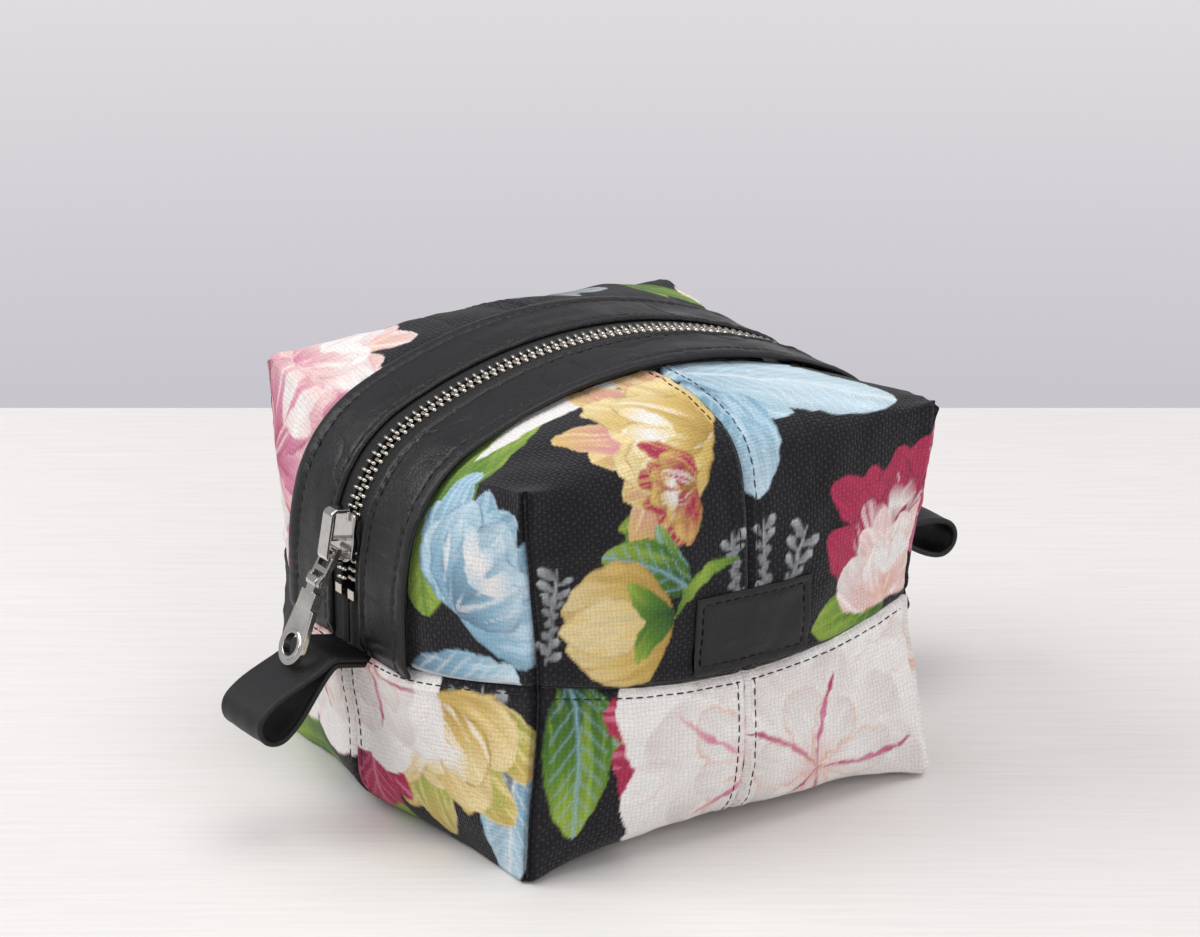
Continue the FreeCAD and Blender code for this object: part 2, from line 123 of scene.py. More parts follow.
def noise(x: Array, y: Array, seed: int = 0, octaves: int = 1) -> Array:
    """Value noise from -1 to 1: lattice numbers joined by smooth steps, in octaves of halving size.

    Args:
        x: first coordinate, in cells.
        y: second coordinate, in cells.
        seed: picks the pattern.
        octaves: how many layers.

    Returns:
        The noise at each place.
    """
    total, weight, share = np.zeros(np.broadcast(x, y).shape), 0.0, 1.0
    for k in range(octaves):
        ix, iy = np.floor(x), np.floor(y)
        fx, fy = smooth(0, 1, x - ix), smooth(0, 1, y - iy)
        low = lattice(ix, iy, seed + k) * (1 - fx) + lattice(ix + 1, iy, seed + k) * fx
        high = lattice(ix, iy + 1, seed + k) * (1 - fx) + lattice(ix + 1, iy + 1, seed + k) * fx
        total = total + share * (low * (1 - fy) + high * fy)
        weight += share
        share *= 0.5
        x, y = x * 2.03, y * 2.03
    return 2 * total / weight - 1


def unit(v: Array) -> Array:
    """Vectors in the last axis brought to length 1."""
    return v / np.maximum(np.linalg.norm(v, axis=-1, keepdims=True), 1e-9)


# ---- meshes ----


@dataclass
class Sheet:
    """A grid of points with its cloth coordinates."""

    points: Array
    s: Array
    v: Array

    def normals(self) -> Array:
        """Unit normals: the cross product of the grid's two directions."""
        return unit(np.cross(np.gradient(self.points, axis=0), np.gradient(self.points, axis=1)))

    def outward(self, centre: Array) -> "Sheet":
        """The same sheet, turned round if its normals face the centre."""
        if np.mean(np.sum(self.normals() * (self.points - centre), axis=-1)) < 0:
            return Sheet(self.points[::-1], self.s[::-1], self.v[::-1])
        return self

    def place(self, s: Array, v: Array) -> tuple[Array, Array]:
        """Points and normals at cloth coordinates, read between the grid's rows and columns.

        Args:
            s: distances from the centre seam.
            v: distances from the fold.

        Returns:
            The points and the unit normals.
        """
        rows, columns = self.s[:, 0], self.v[0]

        def index(wanted: Array, line: Array) -> Array:
            """The place between the numbers of a line that rises or falls."""
            turn = -1 if line[-1] < line[0] else 1
            return np.interp(wanted, line[::turn], np.arange(len(line))[::turn])

        i, j = index(s, rows), index(v, columns)
        i0, j0 = np.minimum(i.astype(int), len(rows) - 2), np.minimum(j.astype(int), len(columns) - 2)
        a, b = (i - i0)[..., None], (j - j0)[..., None]
        found = []
        for table in (self.points, self.normals()):
            low = table[i0, j0] * (1 - a) + table[i0 + 1, j0] * a
            high = table[i0, j0 + 1] * (1 - a) + table[i0 + 1, j0 + 1] * a
            found.append(low * (1 - b) + high * b)
        return found[0], unit(found[1])


def grid_faces(rows: int, columns: int, start: int = 0, around: bool = False) -> Array:
    """Point numbers of a grid's four-sided faces.

    Args:
        rows: points along the first direction.
        columns: points along the second.
        start: number of the grid's first point.
        around: whether the last column joins the first.

    Returns:
        Four point numbers a face.
    """
    i = np.arange(rows - 1)[:, None] * columns
    j = np.arange(columns if around else columns - 1)[None, :]
    k = (j + 1) % columns
    return np.stack([i + j, i + columns + j, i + columns + k, i + k], -1).reshape(-1, 4) + start


def mesh_object(
    name: str,
    points: Array,
    quads: Array,
    material: Material,
    uv: Array | None = None,
    colour: Array | None = None,
    triangles: Array | None = None,
) -> Piece:
    """A smooth mesh object from points in millimetres.

    Args:
        name: the piece's name.
        points: one row of x, y, z for each point.
        quads: four point numbers a face.
        material: its finish.
        uv: cloth coordinates for each point, in millimetres, kept as centimetres.
        colour: a print colour for each point.
        triangles: three point numbers a face, for closed ends.

    Returns:
        The new object.
    """
    extra = np.zeros((0, 3), int) if triangles is None else triangles
    corners = np.concatenate([quads.ravel(), extra.ravel()]).astype(np.int32)
    sizes = np.concatenate([np.full(len(quads), 4), np.full(len(extra), 3)])
    starts = np.concatenate([[0], np.cumsum(sizes)[:-1]]).astype(np.int32)
    mesh = bpy.data.meshes.new(name)
    mesh.vertices.add(len(points))
    mesh.vertices.foreach_set("co", (points * MM).astype(np.float32).ravel())
    mesh.loops.add(len(corners))
    mesh.loops.foreach_set("vertex_index", corners)
    mesh.polygons.add(len(sizes))
    mesh.polygons.foreach_set("loop_start", starts)
    mesh.polygons.foreach_set("use_smooth", np.ones(len(sizes), dtype=bool))
    if uv is not None:
        layer = mesh.uv_layers.new(name="cloth")
        layer.data.foreach_set("uv", (uv[corners] / 10).astype(np.float32).ravel())
    if colour is not None:
        attribute = mesh.color_attributes.new("print", "FLOAT_COLOR", "POINT")
        rgba = np.concatenate([colour, np.ones((len(colour), 1))], 1)
        attribute.data.foreach_set("color", rgba.astype(np.float32).ravel())
    mesh.update(calc_edges=True)
    mesh.materials.append(material)
    piece = bpy.data.objects.new(name, mesh)
    bpy.context.scene.collection.objects.link(piece)
    return piece


def welded(piece: Piece, outward: bool = False) -> Piece:
    """The piece with its doubled points merged, and if asked its normals worked out again."""
    work = bmesh.new()
    work.from_mesh(piece.data)
    bmesh.ops.remove_doubles(work, verts=work.verts, dist=3e-6)
    if outward:
        bmesh.ops.recalc_face_normals(work, faces=work.faces)
    work.to_mesh(piece.data)
    work.free()
    return piece


def cloth_object(
    name: str, sheets: Sequence[Sheet], material: Material, colours: Sequence[Array] = ()
) -> Piece:
    """One welded object from several sheets.

    Args:
        name: the piece's name.
        sheets: the grids.
        material: its finish.
        colours: print colours for each sheet, or nothing.

    Returns:
        The new object.
    """
    counts = np.cumsum([0] + [sheet.s.size for sheet in sheets])
    return welded(
        mesh_object(
            name,
            np.concatenate([sheet.points.reshape(-1, 3) for sheet in sheets]),
            np.concatenate([grid_faces(*sheet.s.shape, start) for sheet, start in zip(sheets, counts)]),
            material,
            np.concatenate([np.stack([sheet.s.ravel(), sheet.v.ravel()], 1) for sheet in sheets]),
            np.concatenate([c.reshape(-1, 3) for c in colours]) if len(colours) else None,
        )
    )


def carried(
    name: str, rings: Array, material: Material, along: Array, around: Array
) -> Piece:
    """A closed skin over rings of points, each end closed by a fan to its middle.

    Args:
        name: the piece's name.
        rings: points by ring, then around the ring.
        material: its finish.
        along: cloth coordinate of each ring.
        around: cloth coordinate of each point round a ring.

    Returns:
        The new object, facing outwards.
    """
    rows, columns = rings.shape[:2]
    uv = np.stack(np.broadcast_arrays(along[:, None], around[None]), -1).reshape(-1, 2)
    ends = rings[[0, -1]].mean(axis=1)
    ring = np.arange(columns)
    start, middle = (rows - 1) * columns, np.full(columns, rows * columns)
    first = np.stack([np.roll(ring, -1), ring, middle], 1)
    last = np.stack([ring + start, np.roll(ring, -1) + start, middle + 1], 1)
    piece = mesh_object(
        name,
        np.concatenate([rings.reshape(-1, 3), ends]),
        grid_faces(rows, columns, around=True),
        material,
        np.concatenate([uv, uv[[0, -1]]]),
        triangles=np.concatenate([first, last]),
    )
    return welded(piece, outward=True)


def strap_profile(width: float, thick: float, count: int = 26, edge: float = 0.5) -> Array:
    """A flat strap's closed section: long faces joined by half-round edges.

    Args:
        width: across the strap.
        thick: through it.
        count: points on each long face.
        edge: roundness of the edges, as a share of the thickness.

    Returns:
        Pairs of across and up.
    """
    flat = np.linspace(-width / 2 + thick * edge, width / 2 - thick * edge, count)
    turn = np.linspace(0, math.pi, 7)[1:-1]
    end = np.stack([width / 2 - thick * edge + thick * edge * np.sin(turn), thick / 2 * np.cos(turn)], 1)
    top = np.stack([flat, np.full(count, thick / 2)], 1)
    return np.concatenate([top, end, -top, -end])


# ---- the bag's form ----


@dataclass(frozen=True)
class Arch:
    """The zip's path from crown to end seam: a crown arc, a corner arc, an ease and a straight leg."""

    leg_x: float
    seam_z: float
    crown_z: float
    leg_top: float = 64.0
    ease_radius: float = 70.0
    crown_angle: float = 25.0
    ease_angle: float = 15.0

    def arcs(self) -> list[Pair]:
        """Radius and turn in radians of each arc; two radii come from where the arch starts and ends."""
        c, e = math.radians(self.crown_angle), math.radians(90 - self.ease_angle)
        run = self.leg_x - self.ease_radius * (1 - math.sin(e))
        fall = self.crown_z - self.leg_top - self.ease_radius * math.cos(e)
        m = [[math.sin(c), math.sin(e) - math.sin(c)], [1 - math.cos(c), math.cos(c) - math.cos(e)]]
        crown, corner = np.linalg.solve(m, [run, fall])
        return [(crown, c), (corner, e - c), (self.ease_radius, math.pi / 2 - e)]

    def half_length(self) -> float:
        """Length from the crown to an end seam."""
        return sum(r * a for r, a in self.arcs()) + self.leg_top - self.seam_z

    def at(self, s: Array) -> tuple[Array, Array, Array]:
        """Place on one half of the arch, adding each arc's chord and then the leg.

        Args:
            s: distances from the crown.

        Returns:
            x, z and the heading below level, in radians.
        """
        x, z, heading = np.zeros_like(s), np.full_like(s, self.crown_z), np.zeros_like(s)
        left = np.array(s, float)
        for radius, angle in self.arcs():
            turn = np.clip(left / radius, 0, angle)
            x = x + radius * (np.sin(heading + turn) - np.sin(heading))
            z = z + radius * (np.cos(heading + turn) - np.cos(heading))
            heading = heading + turn
            left = left - radius * turn
        return x, z - np.maximum(left, 0), heading

    def along(self, u: Array) -> tuple[Array, Array, Array]:
        """Centre points, tangents and outward normals at signed distances from the crown."""
        x, z, heading = self.at(np.abs(u))
        sign, zero = np.where(u < 0, -1.0, 1.0), np.zeros_like(x)
        centre = np.stack([sign * x, zero, z], -1)
        tangent = np.stack([np.cos(heading), zero, -sign * np.sin(heading)], -1)
        return centre, tangent, np.stack([sign * np.sin(heading), zero, np.cos(heading)], -1)


@dataclass(frozen=True)
class Form:
    """The bag's outer form: its seams, folds and corners, in millimetres, for the +X, +Y quarter."""

    arch: Arch
    corner_x: float = 62.6
    corner_y: float = 63.0
    ear_z: float = 104.8
    fold_z: float = 107.4
    fold_y: float = 67.6
    bulge_y: float = 2.4
    seam_mid: float = 45.3
    seam_corner: float = 52.3
    end_seam: float = 47.4
    foot_z: float = 0.7
    foot_lift: float = 2.0
    ear_at: float = 68.0
    foot_at: float = 64.0

    def corner(self, f: Array, waist: float) -> Array:
        """The corner seam: f is 0 at the ear, 1 at the horizontal seam and 2 at the foot.

        x and y go in by the waist times sin squared of a quarter turn per f. z falls evenly in each half.
        """
        pinch = waist * np.sin(f * math.pi / 2) ** 2
        upper = self.ear_z + (self.seam_corner - self.ear_z) * f
        lower = self.seam_corner + (self.foot_z - self.seam_corner) * (f - 1)
        z = np.where(f < 1, upper, lower)
        return np.stack([self.corner_x - pinch, self.corner_y - 0.35 * pinch, z], -1)

    def end_line(self, y: Array, waist: float) -> Array:
        """The horizontal seam round the end, flat by the zip and then curving in to the corner seam."""
        last = self.corner(np.ones(1), waist)[0]
        t = np.clip(y / last[1], 0, 1)
        flat = self.arch.leg_x - 0.7
        x = flat - (flat - last[0]) * smooth(0.26, 1.85, t) / smooth(0.26, 1.85, 1.0)
        return np.stack([x, y, self.end_seam + (self.seam_corner - self.end_seam) * t**2], -1)


def rounded(d: Array, radius: Array) -> Array:
    """Distance run on one side of a fold: half of d plus the root of d squared plus radius squared."""
    return (d + np.sqrt(d * d + radius * radius)) / 2


@dataclass(frozen=True)
class Quarter:
    """One quarter of the cloth above or below the horizontal seam, made at +X, +Y and then mirrored."""

    form: Form
    face: Face
    side: Side
    upper: bool
    edge_y: float = CANVAS_EDGE
    tight: float = 1.0
    step: float = 0.6

    @property
    def waist(self) -> float:
        """How far the corner seam is pinched in at the horizontal seam."""
        return (4.3 if self.side is Side.LEFT else 6.8) + (0.0 if self.face is Face.FRONT else -1.0)

    @property
    def turn_at(self) -> float:
        """Where the fold line ends and the corner seam begins."""
        return self.form.ear_at if self.upper else self.form.foot_at

    @property
    def length(self) -> float:
        """Length of the strip from the centre seam to the horizontal seam at the end."""
        if self.upper:
            return self.form.arch.half_length()
        return self.inner_path(np.array([0.0]))[1]

    def inner_path(self, s: Array) -> tuple[Array, float]:
        """The base's middle line: along the ground, round a corner and up the end, with its whole length."""
        form = self.form
        radius, wall = 13.0, form.arch.leg_x - 0.9
        flat = wall - radius
        bend = radius * math.pi / 2
        turn = np.clip((s - flat) / radius, 0, math.pi / 2)
        rise = np.maximum(s - flat - bend, 0)
        x = np.minimum(s, flat) + radius * np.sin(turn) + 0.9 * smooth(0, 28, rise)
        z = form.foot_z + radius * (1 - np.cos(turn)) + rise
        lift = form.foot_lift * (1 - smooth(20, 56, s))
        whole = flat + bend + form.end_seam - form.foot_z - radius
        return np.stack([x, np.zeros_like(x), z + lift], -1), whole

    @property
    def top(self) -> float:
        """Width of the strip, from the fold to its inner edge."""
        return 68.0 - self.edge_y if self.upper else 66.0

    @property
    def down(self) -> float:
        """Height of the wall, from the fold to the horizontal seam."""
        return self.form.fold_z - self.form.seam_mid if self.upper else self.form.seam_mid - self.form.foot_z

    def wall(self, a: Array, f: Array) -> Array:
        """The wall: a is 0 at the centre seam and 1 at the corner, f is 0 at the fold and 1 at the seam.

        x is the corner's times a. y and z go from the centre's values to the corner's by powers of a, and
        the centre bows out by a sine of f.
        """
        form = self.form
        corner = form.corner(f if self.upper else 2 - f, self.waist)
        if self.upper:
            y = form.fold_y + form.bulge_y * np.sin(f * math.pi) + 0.3 * f
            z = form.fold_z + (form.seam_mid - form.fold_z) * f
        else:
            y = form.fold_y - 1.6 + 1.9 * f + (form.bulge_y + 0.6) * np.sin(f * math.pi)
            z = form.foot_z + form.foot_lift + (form.seam_mid - form.foot_z - form.foot_lift) * f
        y, z = y + (corner[..., 1] - y) * a**2.3, z + (corner[..., 2] - z) * a**2
        return np.stack([corner[..., 0] * a, y, z], -1)

    def band(self, s: Array, q: Array) -> Array:
        """The strip from its inner edge, q = 0, to the fold or corner seam, q = 1.

        Straight between its edges, with a sine bulge, and eased onto the horizontal seam at its far end.
        """
        form, arch = self.form, self.form.arch
        f = np.clip((s - self.turn_at) / (self.length - self.turn_at), 0, 1)
        if self.upper:
            x, z, heading = arch.at(s)
            drop = 0.7 + 0.5 * smooth(40, 90, s)
            x, z, edge = x - drop * np.sin(heading), z - drop * np.cos(heading), np.full_like(x, self.edge_y)
            inner = np.stack([x, edge, z], -1)
            normal = np.stack([np.sin(heading), 0.3 + 0 * x, np.cos(heading)], -1)
            bulge = 2.4 - 1.2 * ridge(s - self.turn_at, 16) + 2.0 * smooth(80, 110, s)
            corner = form.corner(f, self.waist)
        else:
            inner, _ = self.inner_path(s)
            level = smooth(self.turn_at - 10, self.turn_at + 18, s)
            normal = np.stack([level, 0 * s, level * 0], -1)
            bulge = 6.5 * smooth(self.turn_at, self.length, s)
            corner = form.corner(2 - f, self.waist)
        fold = self.wall(np.clip(s / self.turn_at, 0, 1), np.zeros_like(s))
        outer = np.where((s <= self.turn_at)[..., None], fold, corner)
        points = inner + (outer - inner) * q[..., None] + (bulge * np.sin(math.pi * q))[..., None] * normal
        if not self.upper:
            points[..., 2] += 0.9 * np.sin(math.pi * q) * (1 - smooth(self.turn_at - 20, self.turn_at, s))
        return points

    def eased(self, s: Array, q: Array) -> Array:
        """The strip with its last row moved onto the horizontal seam, and the rows before it by less."""
        last = self.band(np.full_like(s, self.length), q)
        y = last[..., 1]
        target = self.form.end_line(y, self.waist)
        return self.band(s, q) + (target - last) * smooth(self.length - 40, self.length, s)[..., None]

    def to_corner_seam(self, s: Array, v: Array) -> Array:
        """Distance along the cloth to the corner seam, which starts at the end of the fold line."""
        return np.where(s < self.turn_at, np.hypot(self.turn_at - s, np.maximum(v, 0)), np.abs(v))

    def to_level_seam(self, s: Array, v: Array) -> Array:
        """Distance along the cloth to the horizontal seam."""
        return np.where((s < self.turn_at) & (v < 0), self.down + v, self.length - s)

    def relief(self, s: Array, v: Array) -> tuple[Array, Array]:
        """Heights of hems, stitched allowances, puckers and slack over the cloth.

        Each seam is a bell-shaped groove, with a raised allowance beside it, dented where it is stitched.
        Puckers are short waves that fade away from the seam. Slack is slow noise that is 0 at every seam.

        Args:
            s: distances from the centre seam.
            v: distances from the fold.

        Returns:
            The height along the normal, and the depth of the corner seam's groove.
        """
        seed = 7 * self.face.value + 3 * self.side.value + (20 if self.upper else 0)
        corner, level, centre = self.to_corner_seam(s, v), self.to_level_seam(s, v), s
        middle = np.full_like(s, 99.0) if self.upper else self.top - v
        nearest = np.minimum(np.minimum(corner, level), np.minimum(centre, middle))
        height = -0.8 * ridge(centre, 0.8) - 0.9 * ridge(level, 0.9) - 0.8 * ridge(middle, 0.8)
        level_stitch = 99.0 if self.upper else LEVEL_STITCH
        for gap, stitched in ((centre, SEAM_STITCH), (level, level_stitch), (middle, SEAM_STITCH)):
            raised = smooth(0.5, 1.6, gap) * (1 - smooth(3.9, 5.6, gap))
            height = height + 0.42 * raised - 0.3 * ridge(gap - stitched, 0.55)
        along = np.where(level < centre, s, v)
        wave = noise(along / 3.4, np.minimum(level, centre) / 16, seed + 40, 2)
        height = height + 0.42 * wave * ridge(np.minimum(level, centre) - 3.5, 6.5)
        side_wave = noise(np.where(s > self.turn_at, s, v) / 4.2, corner / 18, seed + 50, 2)
        height = height + 0.6 * side_wave * smooth(0, 3, corner) * ridge(corner, 13)
        if not self.upper:
            proud = 1.7 * smooth(0.4, 3.2, level) * (1 - smooth(7, 24, level)) * smooth(20, 40, v)
            height = height + proud * (s > self.turn_at)
        slack = 1.15 * noise(s / 21, v / 17, seed, 2) + 0.35 * noise(s / 7, v / 9, seed + 9, 2)
        by_zip = 0.35 + 0.65 * (1 - smooth(self.top - 9, self.top, v))
        height = height + slack * smooth(0, 9, nearest) * by_zip
        return height, 1.5 * ridge(corner, 1.0) - 0.8 * smooth(0.8, 2.2, corner) * ridge(corner, 4.6)

    def sheets(self) -> list[Sheet]:
        """The wall and strip as one sheet, and the end as another that shares its edge.

        Across the fold the surfaces add: strip + wall - fold line, each run from a rounded distance.

        Returns:
            The two sheets, facing outwards.
        """
        top, down, at = self.top, self.down, self.turn_at
        above = -np.linspace(top, 0, int(top / self.step), endpoint=False)
        d = np.concatenate([above, np.linspace(0, down, int(down / self.step))])
        s, d = np.meshgrid(np.linspace(0, at, int(at / self.step)), d, indexing="ij")
        a = s / at
        radius = (9.5 if self.upper else 8.0) * (1 - a**2.2)
        q = 1 - np.clip(rounded(-d, radius * smooth(-top, -top + 14, d)) / top, 0, 1)
        f = np.clip(rounded(d, radius * (1 - smooth(down - 14, down, d))) / down, 0, 1)
        main = Sheet(self.eased(s, q) + self.wall(a, f) - self.wall(a, np.zeros_like(s)), s, -d)
        rows = int((self.length - at) / self.step)
        s, d = np.meshgrid(np.linspace(at, self.length, rows), above, indexing="ij")
        s, d = np.concatenate([s, s[:, :1] * 1], 1), np.concatenate([d, 0 * d[:, :1]], 1)
        end = self.finished(Sheet(self.eased(s, 1 + d / top), s, -d))
        main = self.finished(main)
        last = 0 if main.s[0, 0] > main.s[-1, 0] else -1
        first = 0 if end.s[0, 0] < end.s[-1, 0] else -1
        end.points[first] = main.points[last, : end.s.shape[1]]
        return [main, end]

    def finished(self, sheet: Sheet) -> Sheet:
        """A sheet mirrored into its quarter, faced outwards, with its relief, and drawn in for a lining."""
        mirror = np.array([self.side.value, self.face.value, 1.0])
        sheet = Sheet(sheet.points * mirror, sheet.s, sheet.v).outward(np.array([0, 0, 50.0]))
        if self.tight < 1:
            middle = np.array([0, 0, 50.0])
            return Sheet(middle + (sheet.points - middle) * self.tight, sheet.s, sheet.v)
        height, groove = self.relief(sheet.s, sheet.v)
        inward = unit(np.array([-self.side.value, -self.face.value, 0.0]))
        points = sheet.points + sheet.normals() * height[..., None] + inward * groove[..., None]
        points[..., 2] = np.maximum(points[..., 2], 0.25)
        return Sheet(points, sheet.s, sheet.v)


# ---- finishes ----


def linear(code: str) -> Triple:
    """A colour written as six hexadecimal digits, as linear red, green and blue."""
    parts = [int(code[k : k + 2], 16) / 255 for k in (0, 2, 4)]
    return tuple(c / 12.92 if c < 0.04045 else ((c + 0.055) / 1.055) ** 2.4 for c in parts)


class Graph:
    """A node tree, with short calls for making nodes and joining them."""

    def __init__(self, tree: Tree) -> None:
        """Keep the tree."""
        self.tree = tree

    def node(self, kind: str, inputs: dict | None = None, **settings) -> Node:
        """A new node.

        Args:
            kind: its type's name.
            inputs: values or sockets by input name or number.
            **settings: its own properties.

        Returns:
            The node.
        """
        made = self.tree.nodes.new(kind)
        for name, value in settings.items():
            setattr(made, name, value)
        for name, value in (inputs or {}).items():
            if isinstance(value, Socket):
                self.tree.links.new(value, made.inputs[name])
            else:
                made.inputs[name].default_value = value
        return made

    def math(self, operation: str, a, b=0.0, c=0.0) -> Socket:
        """The result of a Math node on up to three values or sockets."""
        return self.node("ShaderNodeMath", {0: a, 1: b, 2: c}, operation=operation).outputs[0]

    def mix(self, share, a, b, blend: str = "MIX") -> Socket:
        """Two colours mixed by a share."""
        made = self.node("ShaderNodeMix", data_type="RGBA", blend_type=blend)
        for name, value in ((0, share), (6, a), (7, b)):
            if isinstance(value, Socket):
                self.tree.links.new(value, made.inputs[name])
            else:
                made.inputs[name].default_value = value if name == 0 else (*value[:3], 1.0)
        return made.outputs[2]

    def times(self, a, b) -> Socket:
        """Two numbers multiplied."""
        return self.math("MULTIPLY", a, b)

    def mapped(self, vector, scale: Triple, turn: Triple = (0.0, 0.0, 0.0)) -> Socket:
        """A place turned and stretched."""
        return self.node("ShaderNodeMapping", {0: vector, "Rotation": turn, "Scale": scale}).outputs[0]

    def noise(self, vector, scale: float, detail: float = 3.0, rough: float = 0.5) -> Socket:
        """Noise from 0 to 1 at each place."""
        inputs = {"Vector": vector, "Scale": scale, "Detail": detail, "Roughness": rough}
        return self.node("ShaderNodeTexNoise", inputs).outputs[0]

    def span(self, value, low: float, high: float, to_low: float = 0.0, to_high: float = 1.0):
        """A value carried from one range to another, and held there."""
        inputs = {0: value, 1: low, 2: high, 3: to_low, 4: to_high}
        return self.node("ShaderNodeMapRange", inputs).outputs[0]

    def bump(self, height, distance: float, strength: float = 1.0, normal=None) -> Socket:
        """A normal from a height in units of the distance, over another normal if given."""
        inputs = {"Height": height, "Distance": distance, "Strength": strength}
        if normal is not None:
            inputs["Normal"] = normal
        return self.node("ShaderNodeBump", inputs).outputs[0]

    def group(self, tree: Tree, **inputs) -> Node:
        """A placed node group, with underscores in input names for spaces."""
        made = self.node("ShaderNodeGroup", node_tree=tree)
        for name, value in inputs.items():
            if isinstance(value, Socket):
                self.tree.links.new(value, made.inputs[name])
            else:
                made.inputs[name].default_value = value
        return made


def new_group(name: str, inputs: dict[str, tuple[str, float | None]], outputs: dict[str, str]):
    """An empty node group with named sockets.

    Args:
        name: the group's name.
        inputs: socket type and default by name.
        outputs: socket type by name.

    Returns:
        The group's graph, its input node and its output node.
    """
    tree = bpy.data.node_groups.new(name, "ShaderNodeTree")
    for key, (kind, default) in inputs.items():
        socket = tree.interface.new_socket(key, in_out="INPUT", socket_type=kind)
        if default is not None:
            socket.default_value = default
    for key, kind in outputs.items():
        tree.interface.new_socket(key, in_out="OUTPUT", socket_type=kind)
    graph = Graph(tree)
    return graph, graph.node("NodeGroupInput"), graph.node("NodeGroupOutput")


def weave_group() -> Tree:
    """Plain weave in cloth coordinates: threads going over and under in turn.

    The height is the product of two sines, raised to a bead on each crossing. The gap mask is 1 between
    beads. Slubs are slow noise stretched along each thread.
    """
    number = "NodeSocketFloat"
    graph, given, out = new_group(
        "plain weave",
        {
            "Cloth": ("NodeSocketVector", None),
            "Across": (number, 8.0),
            "Down": (number, 8.0),
            "Slub": (number, 0.3),
        },
        {"Height": number, "Gap": number, "Fleck": number},
    )
    parts = graph.node("ShaderNodeSeparateXYZ", {0: given.outputs["Cloth"]})
    wander = graph.noise(given.outputs["Cloth"], 2.1, 3.0)
    u = graph.math("MULTIPLY_ADD", wander, 0.26, parts.outputs[0])
    v = graph.math("MULTIPLY_ADD", wander, -0.22, parts.outputs[1])
    across, down = (
        graph.math("SINE", graph.times(place, graph.times(given.outputs[count], math.pi)))
        for place, count in ((u, "Across"), (v, "Down"))
    )
    bead = graph.math("POWER", graph.math("ABSOLUTE", graph.times(across, down)), 0.55)
    over = graph.times(graph.times(across, down), 0.22)
    long_ways, cross_ways = (
        graph.noise(graph.mapped(given.outputs["Cloth"], scale), 1.0, 1.0)
        for scale in ((3.0, 22.0, 1.0), (22.0, 3.0, 1.0))
    )
    slub = graph.math("ADD", long_ways, cross_ways)
    slub = graph.times(graph.math("SUBTRACT", slub, 1.0), given.outputs["Slub"])
    height = graph.math("ADD", graph.math("ADD", bead, over), slub)
    graph.tree.links.new(height, out.inputs["Height"])
    graph.tree.links.new(graph.span(bead, 0.0, 0.42, 1.0, 0.0), out.inputs["Gap"])
    graph.tree.links.new(graph.noise(given.outputs["Cloth"], 26.0, 2.0, 0.7), out.inputs["Fleck"])
    return graph.tree


def grain_group() -> Tree:
    """Leather grain: small cells with creases between them, under slow folds.

    The height is the distance to the nearest cell edge, and wear is slow noise from 0 to 1.
    """
    number = "NodeSocketFloat"
    graph, given, out = new_group(
        "leather grain",
        {"Place": ("NodeSocketVector", None), "Size": (number, 900.0)},
        {"Height": number, "Wear": number},
    )
    place = given.outputs["Place"]
    warp = graph.node("ShaderNodeTexNoise", {"Vector": place, "Scale": 260.0, "Detail": 2.0})
    bent = graph.node("ShaderNodeVectorMath", {0: warp.outputs["Color"], 1: (0.0016,) * 3, 2: place})
    bent.operation = "MULTIPLY_ADD"
    inputs = {"Vector": bent.outputs[0], "Scale": given.outputs["Size"]}
    cells = graph.node("ShaderNodeTexVoronoi", inputs, feature="DISTANCE_TO_EDGE")
    pores = graph.node("ShaderNodeTexVoronoi", inputs, feature="F1")
    plateau = graph.span(cells.outputs["Distance"], 0.0, 0.28)
    height = graph.math("MULTIPLY_ADD", pores.outputs["Distance"], -0.35, plateau)
    graph.tree.links.new(height, out.inputs["Height"])
    graph.tree.links.new(graph.noise(given.outputs["Place"], 55.0, 5.0, 0.62), out.inputs["Wear"])
    return graph.tree


def tarnish_group() -> Tree:
    """Handling marks on plated metal: fine scratches and slow smears, as a mask from 0 to 1."""
    number = "NodeSocketFloat"
    places = {"Place": ("NodeSocketVector", None)}
    graph, given, out = new_group("metal handling", places, {"Mask": number, "Scratch": number})
    stretched = graph.mapped(given.outputs["Place"], (300.0, 2600.0, 600.0))
    graph.tree.links.new(graph.noise(given.outputs["Place"], 420.0, 4.0, 0.6), out.inputs["Mask"])
    graph.tree.links.new(graph.noise(stretched, 1.0, 2.0, 0.6), out.inputs["Scratch"])
    return graph.tree


@dataclass(frozen=True)
class Finish:
    """A material and the name of a slot. Each kind fills in its own nodes."""

    name: str
    slot: str
    colour: str

    def start(self) -> tuple[Material, Graph, Node, Node]:
        """A new material with its graph, its coordinates and its shader."""
        material = bpy.data.materials.new(self.name)
        material.use_nodes = True
        graph = Graph(material.node_tree)
        shader = next(n for n in material.node_tree.nodes if n.type == "BSDF_PRINCIPLED")
        return material, graph, graph.node("ShaderNodeTexCoord"), shader

    def join(self, graph: Graph, shader: Node, **sockets: Socket) -> None:
        """Join sockets to the shader's inputs, with underscores in their names for spaces."""
        for name, socket in sockets.items():
            graph.tree.links.new(socket, shader.inputs[name.replace("_", " ")])


